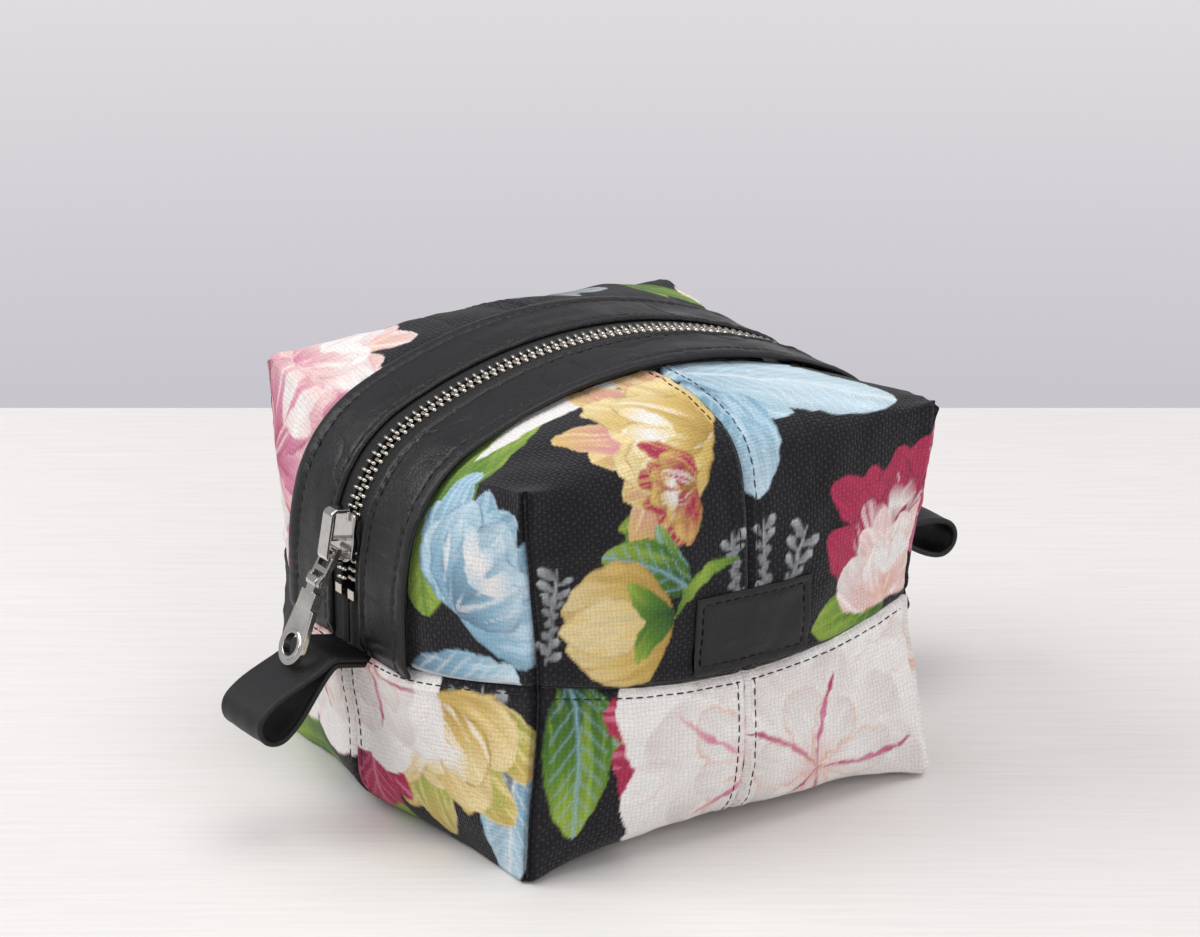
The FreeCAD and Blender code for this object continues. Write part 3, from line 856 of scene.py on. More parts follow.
@dataclass(frozen=True)
class WovenFinish(Finish):
    """Woven cloth, plain or printed: thread bump, painted shade in gaps, painted highlight on tops, pale
    flecks.
    """

    across: float = 8.0
    down: float = 8.0
    deep: float = 0.00022
    printed: bool = False
    rough: float = 0.86

    def build(self, weave: Tree) -> Material:
        """The material, round the weave group."""
        material, graph, coordinates, shader = self.start()
        place = coordinates.outputs["UV"]
        cloth = graph.group(weave, Cloth=place, Across=self.across, Down=self.down, Slub=0.35)
        if self.printed:
            ink = graph.node("ShaderNodeVertexColor", layer_name="print").outputs[0]
        else:
            base = linear(self.colour)
            ink = graph.mix(cloth.outputs["Fleck"], base, [1.25 * c for c in base])
        fleck = graph.span(cloth.outputs["Fleck"], 0.32, 0.72, 0.86, 1.08)
        grey = graph.node("ShaderNodeCombineColor", {0: fleck, 1: fleck, 2: fleck}).outputs[0]
        ink = graph.mix(1.0, ink, grey, "MULTIPLY")
        # Painted shade: the gaps between the threads are darkened towards black.
        gap = graph.times(cloth.outputs["Gap"], 0.25 if self.printed else 0.5)
        shade = graph.mix(0.78, ink, (0.012, 0.012, 0.014))
        # Painted highlight: the tops of the threads are lightened towards pale grey.
        wear_and_highlight = graph.times(graph.span(cloth.outputs["Height"], 0.85, 1.2), 0.035)
        ink = graph.mix(wear_and_highlight, graph.mix(gap, ink, shade), (0.62, 0.62, 0.64))
        rough = graph.span(cloth.outputs["Height"], 0.2, 1.1, min(1.0, self.rough + 0.1), self.rough - 0.08)
        self.join(graph, shader, Base_Color=ink, Roughness=rough)
        self.join(graph, shader, Normal=graph.bump(cloth.outputs["Height"], self.deep, 0.9))
        shader.inputs["Specular IOR Level"].default_value = 0.22
        shader.inputs["Sheen Weight"].default_value = 0.12
        shader.inputs["Sheen Roughness"].default_value = 0.5
        return material


@dataclass(frozen=True)
class LeatherFinish(Finish):
    """Black leather: fine grain over slow wrinkles, with glossier patches of wear."""

    size: float = 950.0
    rough: float = 0.4

    def build(self, grain: Tree) -> Material:
        """The material, round the grain group."""
        material, graph, coordinates, shader = self.start()
        place = coordinates.outputs["Object"]
        skin = graph.group(grain, Place=place, Size=self.size)
        dark, light = linear(self.colour), [1.9 * c for c in linear(self.colour)]
        # Lighter patches of wear, from slow noise.
        wear_and_highlight = graph.span(skin.outputs["Wear"], 0.42, 0.72)
        self.join(graph, shader, Base_Color=graph.mix(wear_and_highlight, dark, light))
        rough = graph.span(skin.outputs["Wear"], 0.3, 0.7, self.rough - 0.07, self.rough + 0.1)
        wrinkle = graph.noise(graph.mapped(place, (1.0, 0.5, 1.0)), 210.0, 4.0)
        slow = graph.bump(wrinkle, 0.0007, 0.35)
        fine = graph.bump(skin.outputs["Height"], 0.00006, 0.85, slow)
        self.join(graph, shader, Roughness=rough, Normal=fine)
        shader.inputs["Specular IOR Level"].default_value = 0.38
        shader.inputs["Coat Weight"].default_value = 0.06
        shader.inputs["Coat Roughness"].default_value = 0.3
        return material


@dataclass(frozen=True)
class MetalFinish(Finish):
    """Nickel plate with smears and fine scratches."""

    rough: float = 0.09
    marks: float = 0.08

    def build(self, handling: Tree) -> Material:
        """The material, round the handling group."""
        material, graph, coordinates, shader = self.start()
        wear = graph.group(handling, Place=coordinates.outputs["Object"])
        base = linear(self.colour)
        mask = graph.span(wear.outputs["Mask"], 0.45, 0.75)
        self.join(graph, shader, Base_Color=graph.mix(mask, base, [0.86 * c for c in base]))
        rough = graph.span(wear.outputs["Mask"], 0.3, 0.75, self.rough, self.rough + self.marks)
        self.join(graph, shader, Roughness=rough, Normal=graph.bump(wear.outputs["Scratch"], 0.00001, 0.25))
        shader.inputs["Metallic"].default_value = 1.0
        return material


@dataclass(frozen=True)
class ThreadFinish(Finish):
    """Waxed sewing thread, with its twist as slanted ribs, their crests painted lighter as a highlight."""

    def build(self) -> Material:
        """The material."""
        material, graph, coordinates, shader = self.start()
        twist = graph.node("ShaderNodeTexWave", {"Vector": coordinates.outputs["Object"], "Scale": 900.0})
        base = linear(self.colour)
        # Painted highlight: the colour is lighter on the crests of the twist's ribs.
        self.join(graph, shader, Base_Color=graph.mix(twist.outputs[1], base, [2.2 * c for c in base]))
        self.join(graph, shader, Normal=graph.bump(twist.outputs[1], 0.00008, 0.6))
        shader.inputs["Roughness"].default_value = 0.6
        return material


class Finishes:
    """Every material of the bag, built once."""

    def __init__(self) -> None:
        """Build the groups and the materials."""
        weave, grain, handling = weave_group(), grain_group(), tarnish_group()
        canvas = WovenFinish("printed canvas", "printed_canvas", "1c1a1d", 7.6, 8.8, printed=True)
        lining = WovenFinish("lining cotton", "lining_cotton", "a9a39b", 22.0, 22.0, 0.00008)
        tape = WovenFinish("zip tape", "zip_tape", "0e0e10", 16.0, 26.0, 0.00012, rough=0.75)
        self.canvas, self.lining, self.tape = (finish.build(weave) for finish in (canvas, lining, tape))
        self.leather = LeatherFinish("black leather", "black_leather", "0b0a0d").build(grain)
        strap = LeatherFinish("smooth strap leather", "black_leather", "09090c", 1500.0, 0.5)
        self.strap = strap.build(grain)
        self.teeth = MetalFinish("nickel teeth", "nickel_teeth", "c6c0b6", 0.16, 0.12).build(handling)
        self.nickel = MetalFinish("polished nickel", "polished_nickel", "d3d0cb").build(handling)
        self.thread = ThreadFinish("black thread", "black_leather", "0b0b0d").build()


# ---- the printed flowers ----


class Ink(Enum):
    """The print's inks."""

    BLACK = "19171b"
    SKY = "8fb6cc"
    PALE_SKY = "c3dae6"
    SLATE = "5f7f96"
    GOLD = "d8b96c"
    CREAM = "ead6a2"
    OCHRE = "a98840"
    CRIMSON = "b03054"
    WINE = "6d2146"
    ROSE = "d98aa6"
    BLUSH = "ecccc8"
    PEACH = "e9b79f"
    WHITE = "f0edea"
    SHELL = "e2d9d6"
    LEAF = "557f2d"
    LIME = "94ad45"
    FOREST = "22482a"
    GREY = "85888b"
    SILVER = "b4b8ba"
    CHARCOAL = "45474b"


Inks = tuple[Ink, Ink, Ink]


@dataclass(frozen=True)
class Blade:
    """A petal, leaf or brush stroke of the print, from its base to its tip in cloth coordinates.

    A point's place t runs from 0 at the base to 1 at the tip along a bent middle line. It is inside where
    its distance from that line is under the width times a sine of t raised to the belly power, with a ragged
    edge. The colour goes through three inks with t, streaked along the blade, with a vein and a rim.
    """

    base: Pair
    tip: Pair
    width: float
    inks: Inks
    bend: float = 0.0
    belly: float = 1.0
    fullness: float = 0.7
    ragged: float = 0.6
    streak: float = 0.55
    streak_ink: Ink | None = None
    vein: Ink | None = None
    rim: Ink | None = None

    def paint(self, s: Array, v: Array, colour: Array) -> Array:
        """The colours with this blade painted over them.

        Args:
            s: distances from the centre seam.
            v: distances from the fold.
            colour: the colours below.

        Returns:
            The new colours.
        """
        seed = int(abs(self.base[0] * 13 + self.base[1] * 7 + self.tip[0] * 5 + self.tip[1] * 3)) % 997
        s = s + 0.55 * noise(s / 4.0, v / 4.0, seed, 2)
        v = v + 0.55 * noise(s / 4.0, v / 4.0, seed + 31, 2)
        span = np.subtract(self.tip, self.base)
        length = float(np.hypot(*span))
        along, cross = span / length, np.array([-span[1], span[0]]) / length
        x, y = s - self.base[0], v - self.base[1]
        t = (x * along[0] + y * along[1]) / length
        held = np.clip(t, 0, 1)
        off = x * cross[0] + y * cross[1] - self.bend * 4 * held * (1 - held)
        half = self.width * np.sin(math.pi * held**self.belly) ** self.fullness
        half = half + self.ragged * noise(held * length / 2.3, np.sign(off) * 5, seed + 3, 2) * (half > 0.4)
        inside = np.clip((half - np.abs(off)) / 0.55 + 0.5, 0, 1) * ((t > 0) & (t < 1))
        if not np.any(inside > 0):
            return colour
        base, middle, tip = (np.array(linear(ink.value)) for ink in self.inks)
        drift = np.clip(held + 0.13 * noise(off / 1.5, t * length / 12, seed + 11, 2), 0, 1)[..., None]
        near, far = base + (middle - base) * drift * 2, middle + (tip - middle) * (drift * 2 - 1)
        tone = np.where(drift < 0.5, near, far)
        brush = noise(off / max(self.width, 1.0) * 5.5, t * length / 16, seed + 17, 3)[..., None]
        if self.streak_ink is not None:
            over = np.array(linear(self.streak_ink.value))
            tone = tone + (over - tone) * smooth(0.08, 0.42, brush) * self.streak
        tone = tone * (1 + 0.34 * self.streak * brush)
        if self.vein is not None:
            ribs = np.abs(((t * length - np.abs(off) * 1.1) / 4.6) % 1.0 - 0.5) * 4.6
            line = np.maximum(ridge(off, 0.55), 0.6 * ridge(ribs, 0.5) * (np.abs(off) < half * 0.85))
            tone = tone + (np.array(linear(self.vein.value)) - tone) * (line * 0.8)[..., None]
        if self.rim is not None:
            edge = ridge(half - np.abs(off), 0.9) * (0.5 + 0.5 * noise(t * 9, off * 0, seed + 23))
            tone = tone + (np.array(linear(self.rim.value)) - tone) * np.clip(edge, 0, 1)[..., None]
        return colour + (tone - colour) * inside[..., None]


def petals(
    centre: Pair,
    radius: float,
    count: int,
    inks: Inks,
    start: float = 0.0,
    sweep: float = 360.0,
    width: float = 0.5,
    **more,
) -> list[Blade]:
    """Petals fanned round a centre.

    Args:
        centre: where they start.
        radius: their length.
        count: how many.
        inks: from base to tip.
        start: first petal's angle in degrees, from the s axis.
        sweep: angle that they cover.
        width: half width, as a share of the length.
        **more: other settings of each blade.

    Returns:
        The petals.
    """
    made = []
    for k in range(count):
        angle = math.radians(start + sweep * k / (count if sweep >= 359 else max(count - 1, 1)))
        reach = radius * (1 + 0.12 * math.sin(k * 2.4 + radius))
        tip = (centre[0] + reach * math.cos(angle), centre[1] + reach * math.sin(angle))
        settings = {"belly": 1.5, "fullness": 0.55, "bend": 0.08 * radius * (-1) ** k, **more}
        made.append(Blade(centre, tip, radius * width, inks, **settings))
    return made


def sprig(base: Pair, tip: Pair, size: float, ink: Ink = Ink.GREY) -> list[Blade]:
    """A lacy spray: short blunt leaflets in pairs along a stem, paler at the tips.

    Args:
        base: the stem's foot.
        tip: its end.
        size: length of a leaflet.
        ink: the stem's ink.

    Returns:
        The stem and leaflets.
    """
    span = np.subtract(tip, base)
    length = float(np.hypot(*span))
    along, cross = span / length, np.array([-span[1], span[0]]) / length
    made = [Blade(base, tip, 0.8, (ink, ink, Ink.SILVER), belly=0.8, streak=0.3, ragged=0.3)]
    count = max(4, int(length / (size * 0.42)))
    for k in range(count):
        turn = (-1) ** k
        chance = 0.5 + 0.5 * math.sin(12.9898 * k + base[0] + 3 * tip[1])
        root = np.array(base) + span * (0.05 + 0.9 * k / count)
        lean = math.radians(28 + 30 * chance)
        end = root + size * (0.7 + 0.5 * chance) * (math.cos(lean) * along + math.sin(lean) * turn * cross)
        inks = (ink, Ink.GREY, Ink.SILVER) if chance > 0.35 else (Ink.CHARCOAL, ink, Ink.GREY)
        width = size * (0.17 + 0.1 * chance)
        leaflet = {"belly": 1.6, "fullness": 0.5, "ragged": 0.7, "streak": 0.8}
        made.append(Blade(tuple(root), tuple(end), width, inks, **leaflet))
    return made


STEM = (Ink.LEAF, Ink.LIME, Ink.LEAF)
GREEN = (Ink.FOREST, Ink.LEAF, Ink.LIME)
BLUE = (Ink.SLATE, Ink.SKY, Ink.PALE_SKY)
PEARL = (Ink.SHELL, Ink.WHITE, Ink.WHITE)
PINK = (Ink.CRIMSON, Ink.ROSE, Ink.BLUSH)
RED = (Ink.WINE, Ink.CRIMSON, Ink.CRIMSON)
YELLOW = (Ink.OCHRE, Ink.GOLD, Ink.CREAM)


def polar(start: Pair, reach: float, degrees: float) -> Pair:
    """The point at a distance and a heading from the start."""
    angle = math.radians(degrees)
    return (start[0] + reach * math.cos(angle), start[1] + reach * math.sin(angle))


def rose(at: Pair, size: float, inks: Inks, heading: float, tint: Ink) -> list[Blade]:
    """A cupped flower from the side: a tinted outer fan, then broader and paler petals that overlap.

    Args:
        at: its foot.
        size: its length.
        inks: from foot to lip.
        heading: the way that it opens, in degrees from the s axis.
        tint: the outer petals' ink.

    Returns:
        The petals.
    """
    low, middle, pale = inks
    foot = polar(at, -0.35 * size, heading)
    made = []
    for reach, count, ring, sweep, width, rim, streak in (
        (1.30, 7, (low, tint, middle), 124, 0.20, pale, pale),
        (1.05, 5, (middle, middle, pale), 120, 0.32, low, pale),
        (0.90, 3, (low, middle, pale), 68, 0.30, low, Ink.WHITE),
    ):
        start = heading - sweep / 2
        made += petals(foot, reach * size, count, ring, start, sweep, width, rim=rim, streak_ink=streak)
    return made + petals(at, 0.50 * size, 3, (pale, Ink.WHITE, pale), heading - 40, 80, 0.22, streak=0.3)


def bloom(at: Pair, size: float, inks: Inks, turn: float) -> list[Blade]:
    """An open flower: a broad outer ring, a ring of its paler inks turned between, and a gold heart."""
    low, middle, pale = inks
    return [
        *petals(at, size, 8, inks, turn, width=0.38, rim=pale, streak_ink=low),
        *petals(
            at, 0.66 * size, 7, (low, pale, middle), turn + 24, width=0.36, rim=Ink.WHITE, streak_ink=middle
        ),
        *petals(at, 0.36 * size, 6, (low, middle, pale), turn + 10, width=0.36),
        *petals(at, 0.16 * size, 6, (Ink.OCHRE, Ink.GOLD, Ink.CREAM), turn, width=0.2),
    ]


def peony(at: Pair, size: float, turn: float, stroke: Ink) -> list[Blade]:
    """A broad white flower: ragged rings of pale petals, with thin strokes out of its middle."""
    wash = (Ink.BLUSH, Ink.WHITE, Ink.SHELL)
    quiet = {"streak": 0.2, "streak_ink": Ink.WHITE, "ragged": 1.4}
    return [
        *petals(at, size, 10, PEARL, turn, width=0.36, rim=Ink.BLUSH, **quiet),
        *petals(at, 0.74 * size, 8, wash, turn + 20, width=0.34, rim=Ink.WHITE, **quiet),
        *petals(at, 0.50 * size, 7, wash, turn + 5, width=0.32, rim=Ink.PEACH, **quiet),
        *petals(at, 0.62 * size, 5, (stroke, Ink.ROSE, stroke), turn + 30, width=0.028, streak=0.2),
    ]


def bud(at: Pair, size: float, inks: Inks, heading: float) -> list[Blade]:
    """A closed flower: two petals folded round a third, on a stem with two sepals."""
    low, middle, pale = inks
    made = [Blade(polar(at, -0.7 * size, heading - 25), at, 0.06 * size, STEM, bend=0.1 * size)]
    for sign, width in ((1, 0.36), (-1, 0.34)):
        tip = polar(at, 0.98 * size, heading + sign * 9)
        made.append(Blade(at, tip, width * size, inks, bend=sign * 0.10 * size, streak_ink=low, rim=low))
    heart = polar(at, size, heading)
    made.append(Blade(at, heart, 0.24 * size, (middle, pale, pale), belly=1.3, rim=low, streak_ink=middle))
    for sign in (1, -1):
        tip = polar(at, 0.5 * size, heading + sign * 42)
        made.append(Blade(at, tip, 0.11 * size, GREEN, bend=-sign * 0.06 * size))
    return made


def leaf(at: Pair, size: float, heading: float, inks: Inks, vein: Ink) -> list[Blade]:
    """A leaf with a vein and a smaller one beside it."""
    small, large = polar(at, 0.7 * size, heading + 38), polar(at, size, heading)
    look = {"bend": 1.5, "fullness": 0.6, "vein": vein, "streak_ink": inks[2]}
    return [
        Blade(at, small, 0.16 * size, inks, bend=-2.0, streak_ink=vein),
        Blade(at, large, 0.24 * size, inks, **look),
    ]


def upper_front_left() -> list[Blade]:
    """The slider end's front: a gold rose over the fold, a gold bud, and a blue flower at the corner."""
    return [
        *sprig((5, -50), (5, -22), 5.0),
        *sprig((65, -55), (60, -25), 5.0),
        *leaf((35, 40), 70, -5, (Ink.LIME, Ink.LEAF, Ink.LIME), Ink.LEAF),
        Blade((10, 40), (60, 35), 5.0, PEARL, streak=0.2),
        *leaf((120, 40), 35, -90, BLUE, Ink.WHITE),
        *leaf((110, 5), 25, 170, (Ink.CHARCOAL, Ink.GREY, Ink.SLATE), Ink.GREY),
        *rose((95, 18), 28, BLUE, -145, Ink.SKY),
        *leaf((25, -10), 25, -55, GREEN, Ink.LIME),
        *rose((15, 10), 30, YELLOW, 20, Ink.ROSE),
        *rose((20, -8), 14, (Ink.OCHRE, Ink.CRIMSON, Ink.GOLD), -10, Ink.CRIMSON),
        *leaf((20, -35), 30, 25, GREEN, Ink.SKY),
        *bud((25, -42), 36, YELLOW, -5),
        *leaf((85, -2), 22, -120, BLUE, Ink.WHITE),
    ]


def upper_front_right() -> list[Blade]:
    """The far end's front: a broad blue leaf by the leather and a crimson flower by the corner."""
    return [
        *sprig((5, -50), (5, -20), 5.0),
        *sprig((10, -50), (20, -25), 5.5),
        *leaf((0, 30), 45, -85, BLUE, Ink.PALE_SKY),
        *leaf((0, 38), 65, -30, (Ink.SKY, Ink.PALE_SKY, Ink.PALE_SKY), Ink.WHITE),
        *leaf((60, -50), 35, -170, GREEN, Ink.LIME),
        *rose((55, -35), 26, RED, 90, Ink.CRIMSON),
        *rose((58, -50), 22, (Ink.PEACH, Ink.BLUSH, Ink.WHITE), 80, Ink.BLUSH),
        *bloom((92, 15), 25, (Ink.WINE, Ink.CRIMSON, Ink.ROSE), 10),
        *leaf((115, 40), 35, -90, BLUE, Ink.WHITE),
    ]


def base_front_left() -> list[Blade]:
    """The slider end's lower front: a white peony by the seam, a green leaf, and gold at the end."""
    return [
        *leaf((55, -48), 40, 95, GREEN, Ink.SKY),
        *petals((20, -30), 24, 4, RED, -50, 90, 0.3, streak_ink=Ink.ROSE),
        *peony((-5, -20), 48, 10, Ink.BLUSH),
        *leaf((105, 5), 45, 175, BLUE, Ink.WHITE),
        *sprig((85, 5), (115, 15), 6.5),
        *sprig((100, 0), (112, 25), 5.5),
        *rose((100, 32), 30, (Ink.OCHRE, Ink.GOLD, Ink.CREAM), 180, Ink.LIME),
        *leaf((95, 60), 35, 185, RED, Ink.ROSE),
        *peony((115, 55), 32, 15, Ink.CRIMSON),
        *bloom((25, 38), 24, PINK, 15),
        *leaf((45, 60), 30, -20, GREEN, Ink.LIME),
    ]


def base_front_right() -> list[Blade]:
    """The far end's lower front: two pale peonies that cover the wall, and green at the corner."""
    return [
        *peony((60, -15), 52, 0, Ink.BLUSH),
        *peony((0, -25), 48, 25, Ink.BLUSH),
        *peony((25, -10), 48, 40, Ink.CRIMSON),
        *leaf((105, 10), 40, 180, GREEN, Ink.SKY),
        *bloom((95, 38), 25, (Ink.ROSE, Ink.BLUSH, Ink.WHITE), 30),
        *bloom((30, 45), 24, (Ink.GOLD, Ink.PEACH, Ink.CREAM), 15),
    ]


def upper_back_left() -> list[Blade]:
    """The slider end's back: pale pink over the corner, and a blue flower on the wall."""
    return [
        *sprig((65, -55), (50, -15), 7.0),
        *leaf((5, -5), 40, -60, GREEN, Ink.LIME),
        *leaf((0, -55), 45, 0, BLUE, Ink.WHITE),
        *bloom((28, -28), 28, BLUE, 20),
        *peony((110, 12), 45, 10, Ink.PEACH),
        *rose((80, 20), 34, PINK, 150, Ink.ROSE),
        *rose((55, 12), 26, (Ink.ROSE, Ink.BLUSH, Ink.WHITE), 170, Ink.PEACH),
    ]


def upper_back_right() -> list[Blade]:
    """The far end's back: grey and green leaves over the fold, and a crimson flower on the wall."""
    return [
        *leaf((5, 12), 32, 10, (Ink.CHARCOAL, Ink.GREY, Ink.SILVER), Ink.SLATE),
        *leaf((45, 5), 30, 30, GREEN, Ink.LIME),
        *leaf((55, -10), 40, -70, GREEN, Ink.LIME),
        *bloom((30, -28), 30, RED, 10),
        *bud((60, -35), 24, YELLOW, -60),
        *leaf((5, -40), 26, -70, BLUE, Ink.WHITE),
        *bloom((92, 18), 28, (Ink.PEACH, Ink.BLUSH, Ink.WHITE), 10),
        *sprig((65, 35), (80, 5), 6.0),
    ]


def base_back_left() -> list[Blade]:
    """The slider end's lower back: a white flower by the middle seam, and a pale rose on the wall."""
    return [
        *leaf((75, 50), 45, -105, GREEN, Ink.LIME),
        *peony((115, 50), 38, 0, Ink.CRIMSON),
        *leaf((60, -42), 42, 110, BLUE, Ink.WHITE),
        *bloom((25, -20), 30, (Ink.ROSE, Ink.BLUSH, Ink.WHITE), 10),
        *sprig((2, -44), (8, -4), 5.0),
        *bloom((28, 36), 25, (Ink.OCHRE, Ink.CREAM, Ink.WHITE), 10),
    ]


def base_back_right() -> list[Blade]:
    """The far end's lower back: a gold flower with leaves, and a blue one round the corner."""
    return [
        *leaf((5, -42), 40, 60, GREEN, Ink.SKY),
        *bloom((38, -20), 30, YELLOW, 10),
        *sprig((62, -44), (60, -5), 5.0),
        *bloom((92, 34), 28, BLUE, 0),
        *leaf((112, 60), 40, 190, GREEN, Ink.LIME),
        *bloom((30, 38), 24, RED, 20),
    ]


PRINTS = {
    (True, Face.FRONT, Side.LEFT): upper_front_left,
    (True, Face.FRONT, Side.RIGHT): upper_front_right,
    (True, Face.BACK, Side.LEFT): upper_back_left,
    (True, Face.BACK, Side.RIGHT): upper_back_right,
    (False, Face.FRONT, Side.LEFT): base_front_left,
    (False, Face.FRONT, Side.RIGHT): base_front_right,
    (False, Face.BACK, Side.LEFT): base_back_left,
    (False, Face.BACK, Side.RIGHT): base_back_right,
}


def printed(sheet: Sheet, blades: Sequence[Blade]) -> Array:
    """Colours of a sheet: the black ground with its blades painted in order."""
    ground = np.array(linear(Ink.BLACK.value))
    shade = 1 + 0.12 * noise(sheet.s / 6, sheet.v / 6, 5, 2)
    colour = ground * shade[..., None]
    for blade in blades:
        colour = blade.paint(sheet.s, sheet.v, colour)
    return np.clip(colour, 0.003, 0.95)


# ---- the bag's sub-assemblies ----


def flexed(piece: Piece, node: str = "") -> None:
    """Hide a CAD node, if one is given, then bake the piece's transform into its mesh and log its points."""
    if node:
        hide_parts(node)
    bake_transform(piece)
    LOG.info("%s: %d points", piece.name, len(piece.data.vertices))


@dataclass
class CanvasShell:
    """The eight printed canvas quarters."""

    form: Form
    finishes: Finishes
    sheets: dict = field(default_factory=dict)

    def build(self) -> None:
        """Build, print and dress each quarter, and hang the lower ones on the bag."""
        for upper in (True, False):
            for face in Face:
                for side in Side:
                    self.quarter(upper, face, side)

    def quarter(self, upper: bool, face: Face, side: Side) -> None:
        """One quarter, above or below the horizontal seam."""
        cut = Quarter(self.form, face, side, upper, edge_y=CANVAS_EDGE if upper else 0.0)
        sheets = cut.sheets()
        self.sheets[upper, face, side] = sheets
        blades = PRINTS[upper, face, side]()
        name = f"{'upper' if upper else 'base'}_{word(face)}_{word(side)}"
        colours = [printed(sheet, blades) for sheet in sheets]
        piece = cloth_object(f"printed_{name}", sheets, self.finishes.canvas, colours)
        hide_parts(f"canvas_{name}")
        width, length = cut.length, cut.top + cut.down
        area = cut.turn_at * length + (cut.length - cut.turn_at) * cut.top
        if upper:
            flexed(piece)
        else:
            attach(piece, "bag")


@dataclass
class Lining:
    """The two cotton lining halves, a little inside the canvas."""

    form: Form
    finishes: Finishes
    tight: float = 0.965

    def build(self) -> None:
        """Build both halves from coarse quarters drawn in towards the middle."""
        for face in Face:
            sheets = []
            for upper in (True, False):
                for side in Side:
                    edge = LINING_EDGE / self.tight if upper else 0.0
                    cut = Quarter(self.form, face, side, upper, edge, self.tight, 2.0)
                    sheets.extend(cut.sheets())
            piece = cloth_object(f"cotton_{word(face)}", sheets, self.finishes.lining)
            flexed(piece, f"lining_{word(face)}")


@dataclass
class LeatherStrips:
    """The two leather strips that run along the zip from seam to seam."""

    arch: Arch
    finishes: Finishes
    inner: float = 7.0
    outer: float = 29.0
    low: float = 0.3
    high: float = 1.5
    outer_line: float = 24.4
    inner_line: float = 9.6

    def build(self) -> None:
        """Both strips."""
        for face in Face:
            self.strip(face)

    def height(self, u: Array, y: Array, seed: int) -> Array:
        """Puffs of the folded edges, dents of the stitching and cross wrinkles over the strip.

        Args:
            u: distances along the zip.
            y: distances from the zip.
            seed: picks the wrinkles.

        Returns:
            The height above the flat strip.
        """
        sewn = np.minimum(np.abs(y - self.outer_line), np.abs(y - self.inner_line))
        dent = -0.42 * ridge(sewn, 0.62) * (0.72 + 0.28 * np.cos(2 * math.pi * u / 3.0))
        fold = 0.34 * ridge(y - self.outer + 2.1, 1.7) + 0.3 * ridge(y - self.inner - 1.2, 1.1)
        pucker = 0.26 * noise(u / 2.6, y / 9, seed, 2) * ridge(sewn, 3.4)
        slack = 0.5 * noise(u / 17, y / 8, seed + 5, 2) * ridge(y - 17, 7.5)
        crease = -0.32 * ridge(noise(u / 11, y / 26, seed + 8), 0.05) * ridge(y - 16, 6)
        return dent + fold + pucker + slack + crease

    def strip(self, face: Face) -> None:
        """One strip: a flat section carried along the arch, with its upper side raised by the heights."""
        half = self.arch.half_length()
        u = np.linspace(-half, half, 620)
        centre, _, normal = self.arch.along(u)
        section = strap_profile(self.outer - self.inner, self.high - self.low, 52)
        y = (self.inner + self.outer) / 2 + section[:, 0]
        raised = self.height(u[:, None], y[None], 3 + face.value) * (section[:, 1] > 0.1)
        tuck = 1.3 * smooth(half - 3.5, half, np.abs(u))[:, None]
        up = (self.low + self.high) / 2 + section[:, 1] + raised - tuck
        rings = centre[:, None] + up[..., None] * normal[:, None]
        rings[..., 1] = y * face.value
        girth = np.cumsum(np.linalg.norm(np.diff(section, axis=0, prepend=section[:1]), axis=1))
        piece = carried(f"leather_{word(face)}", rings, self.finishes.leather, u, girth)
        flexed(piece, f"leather_strip_{word(face)}")


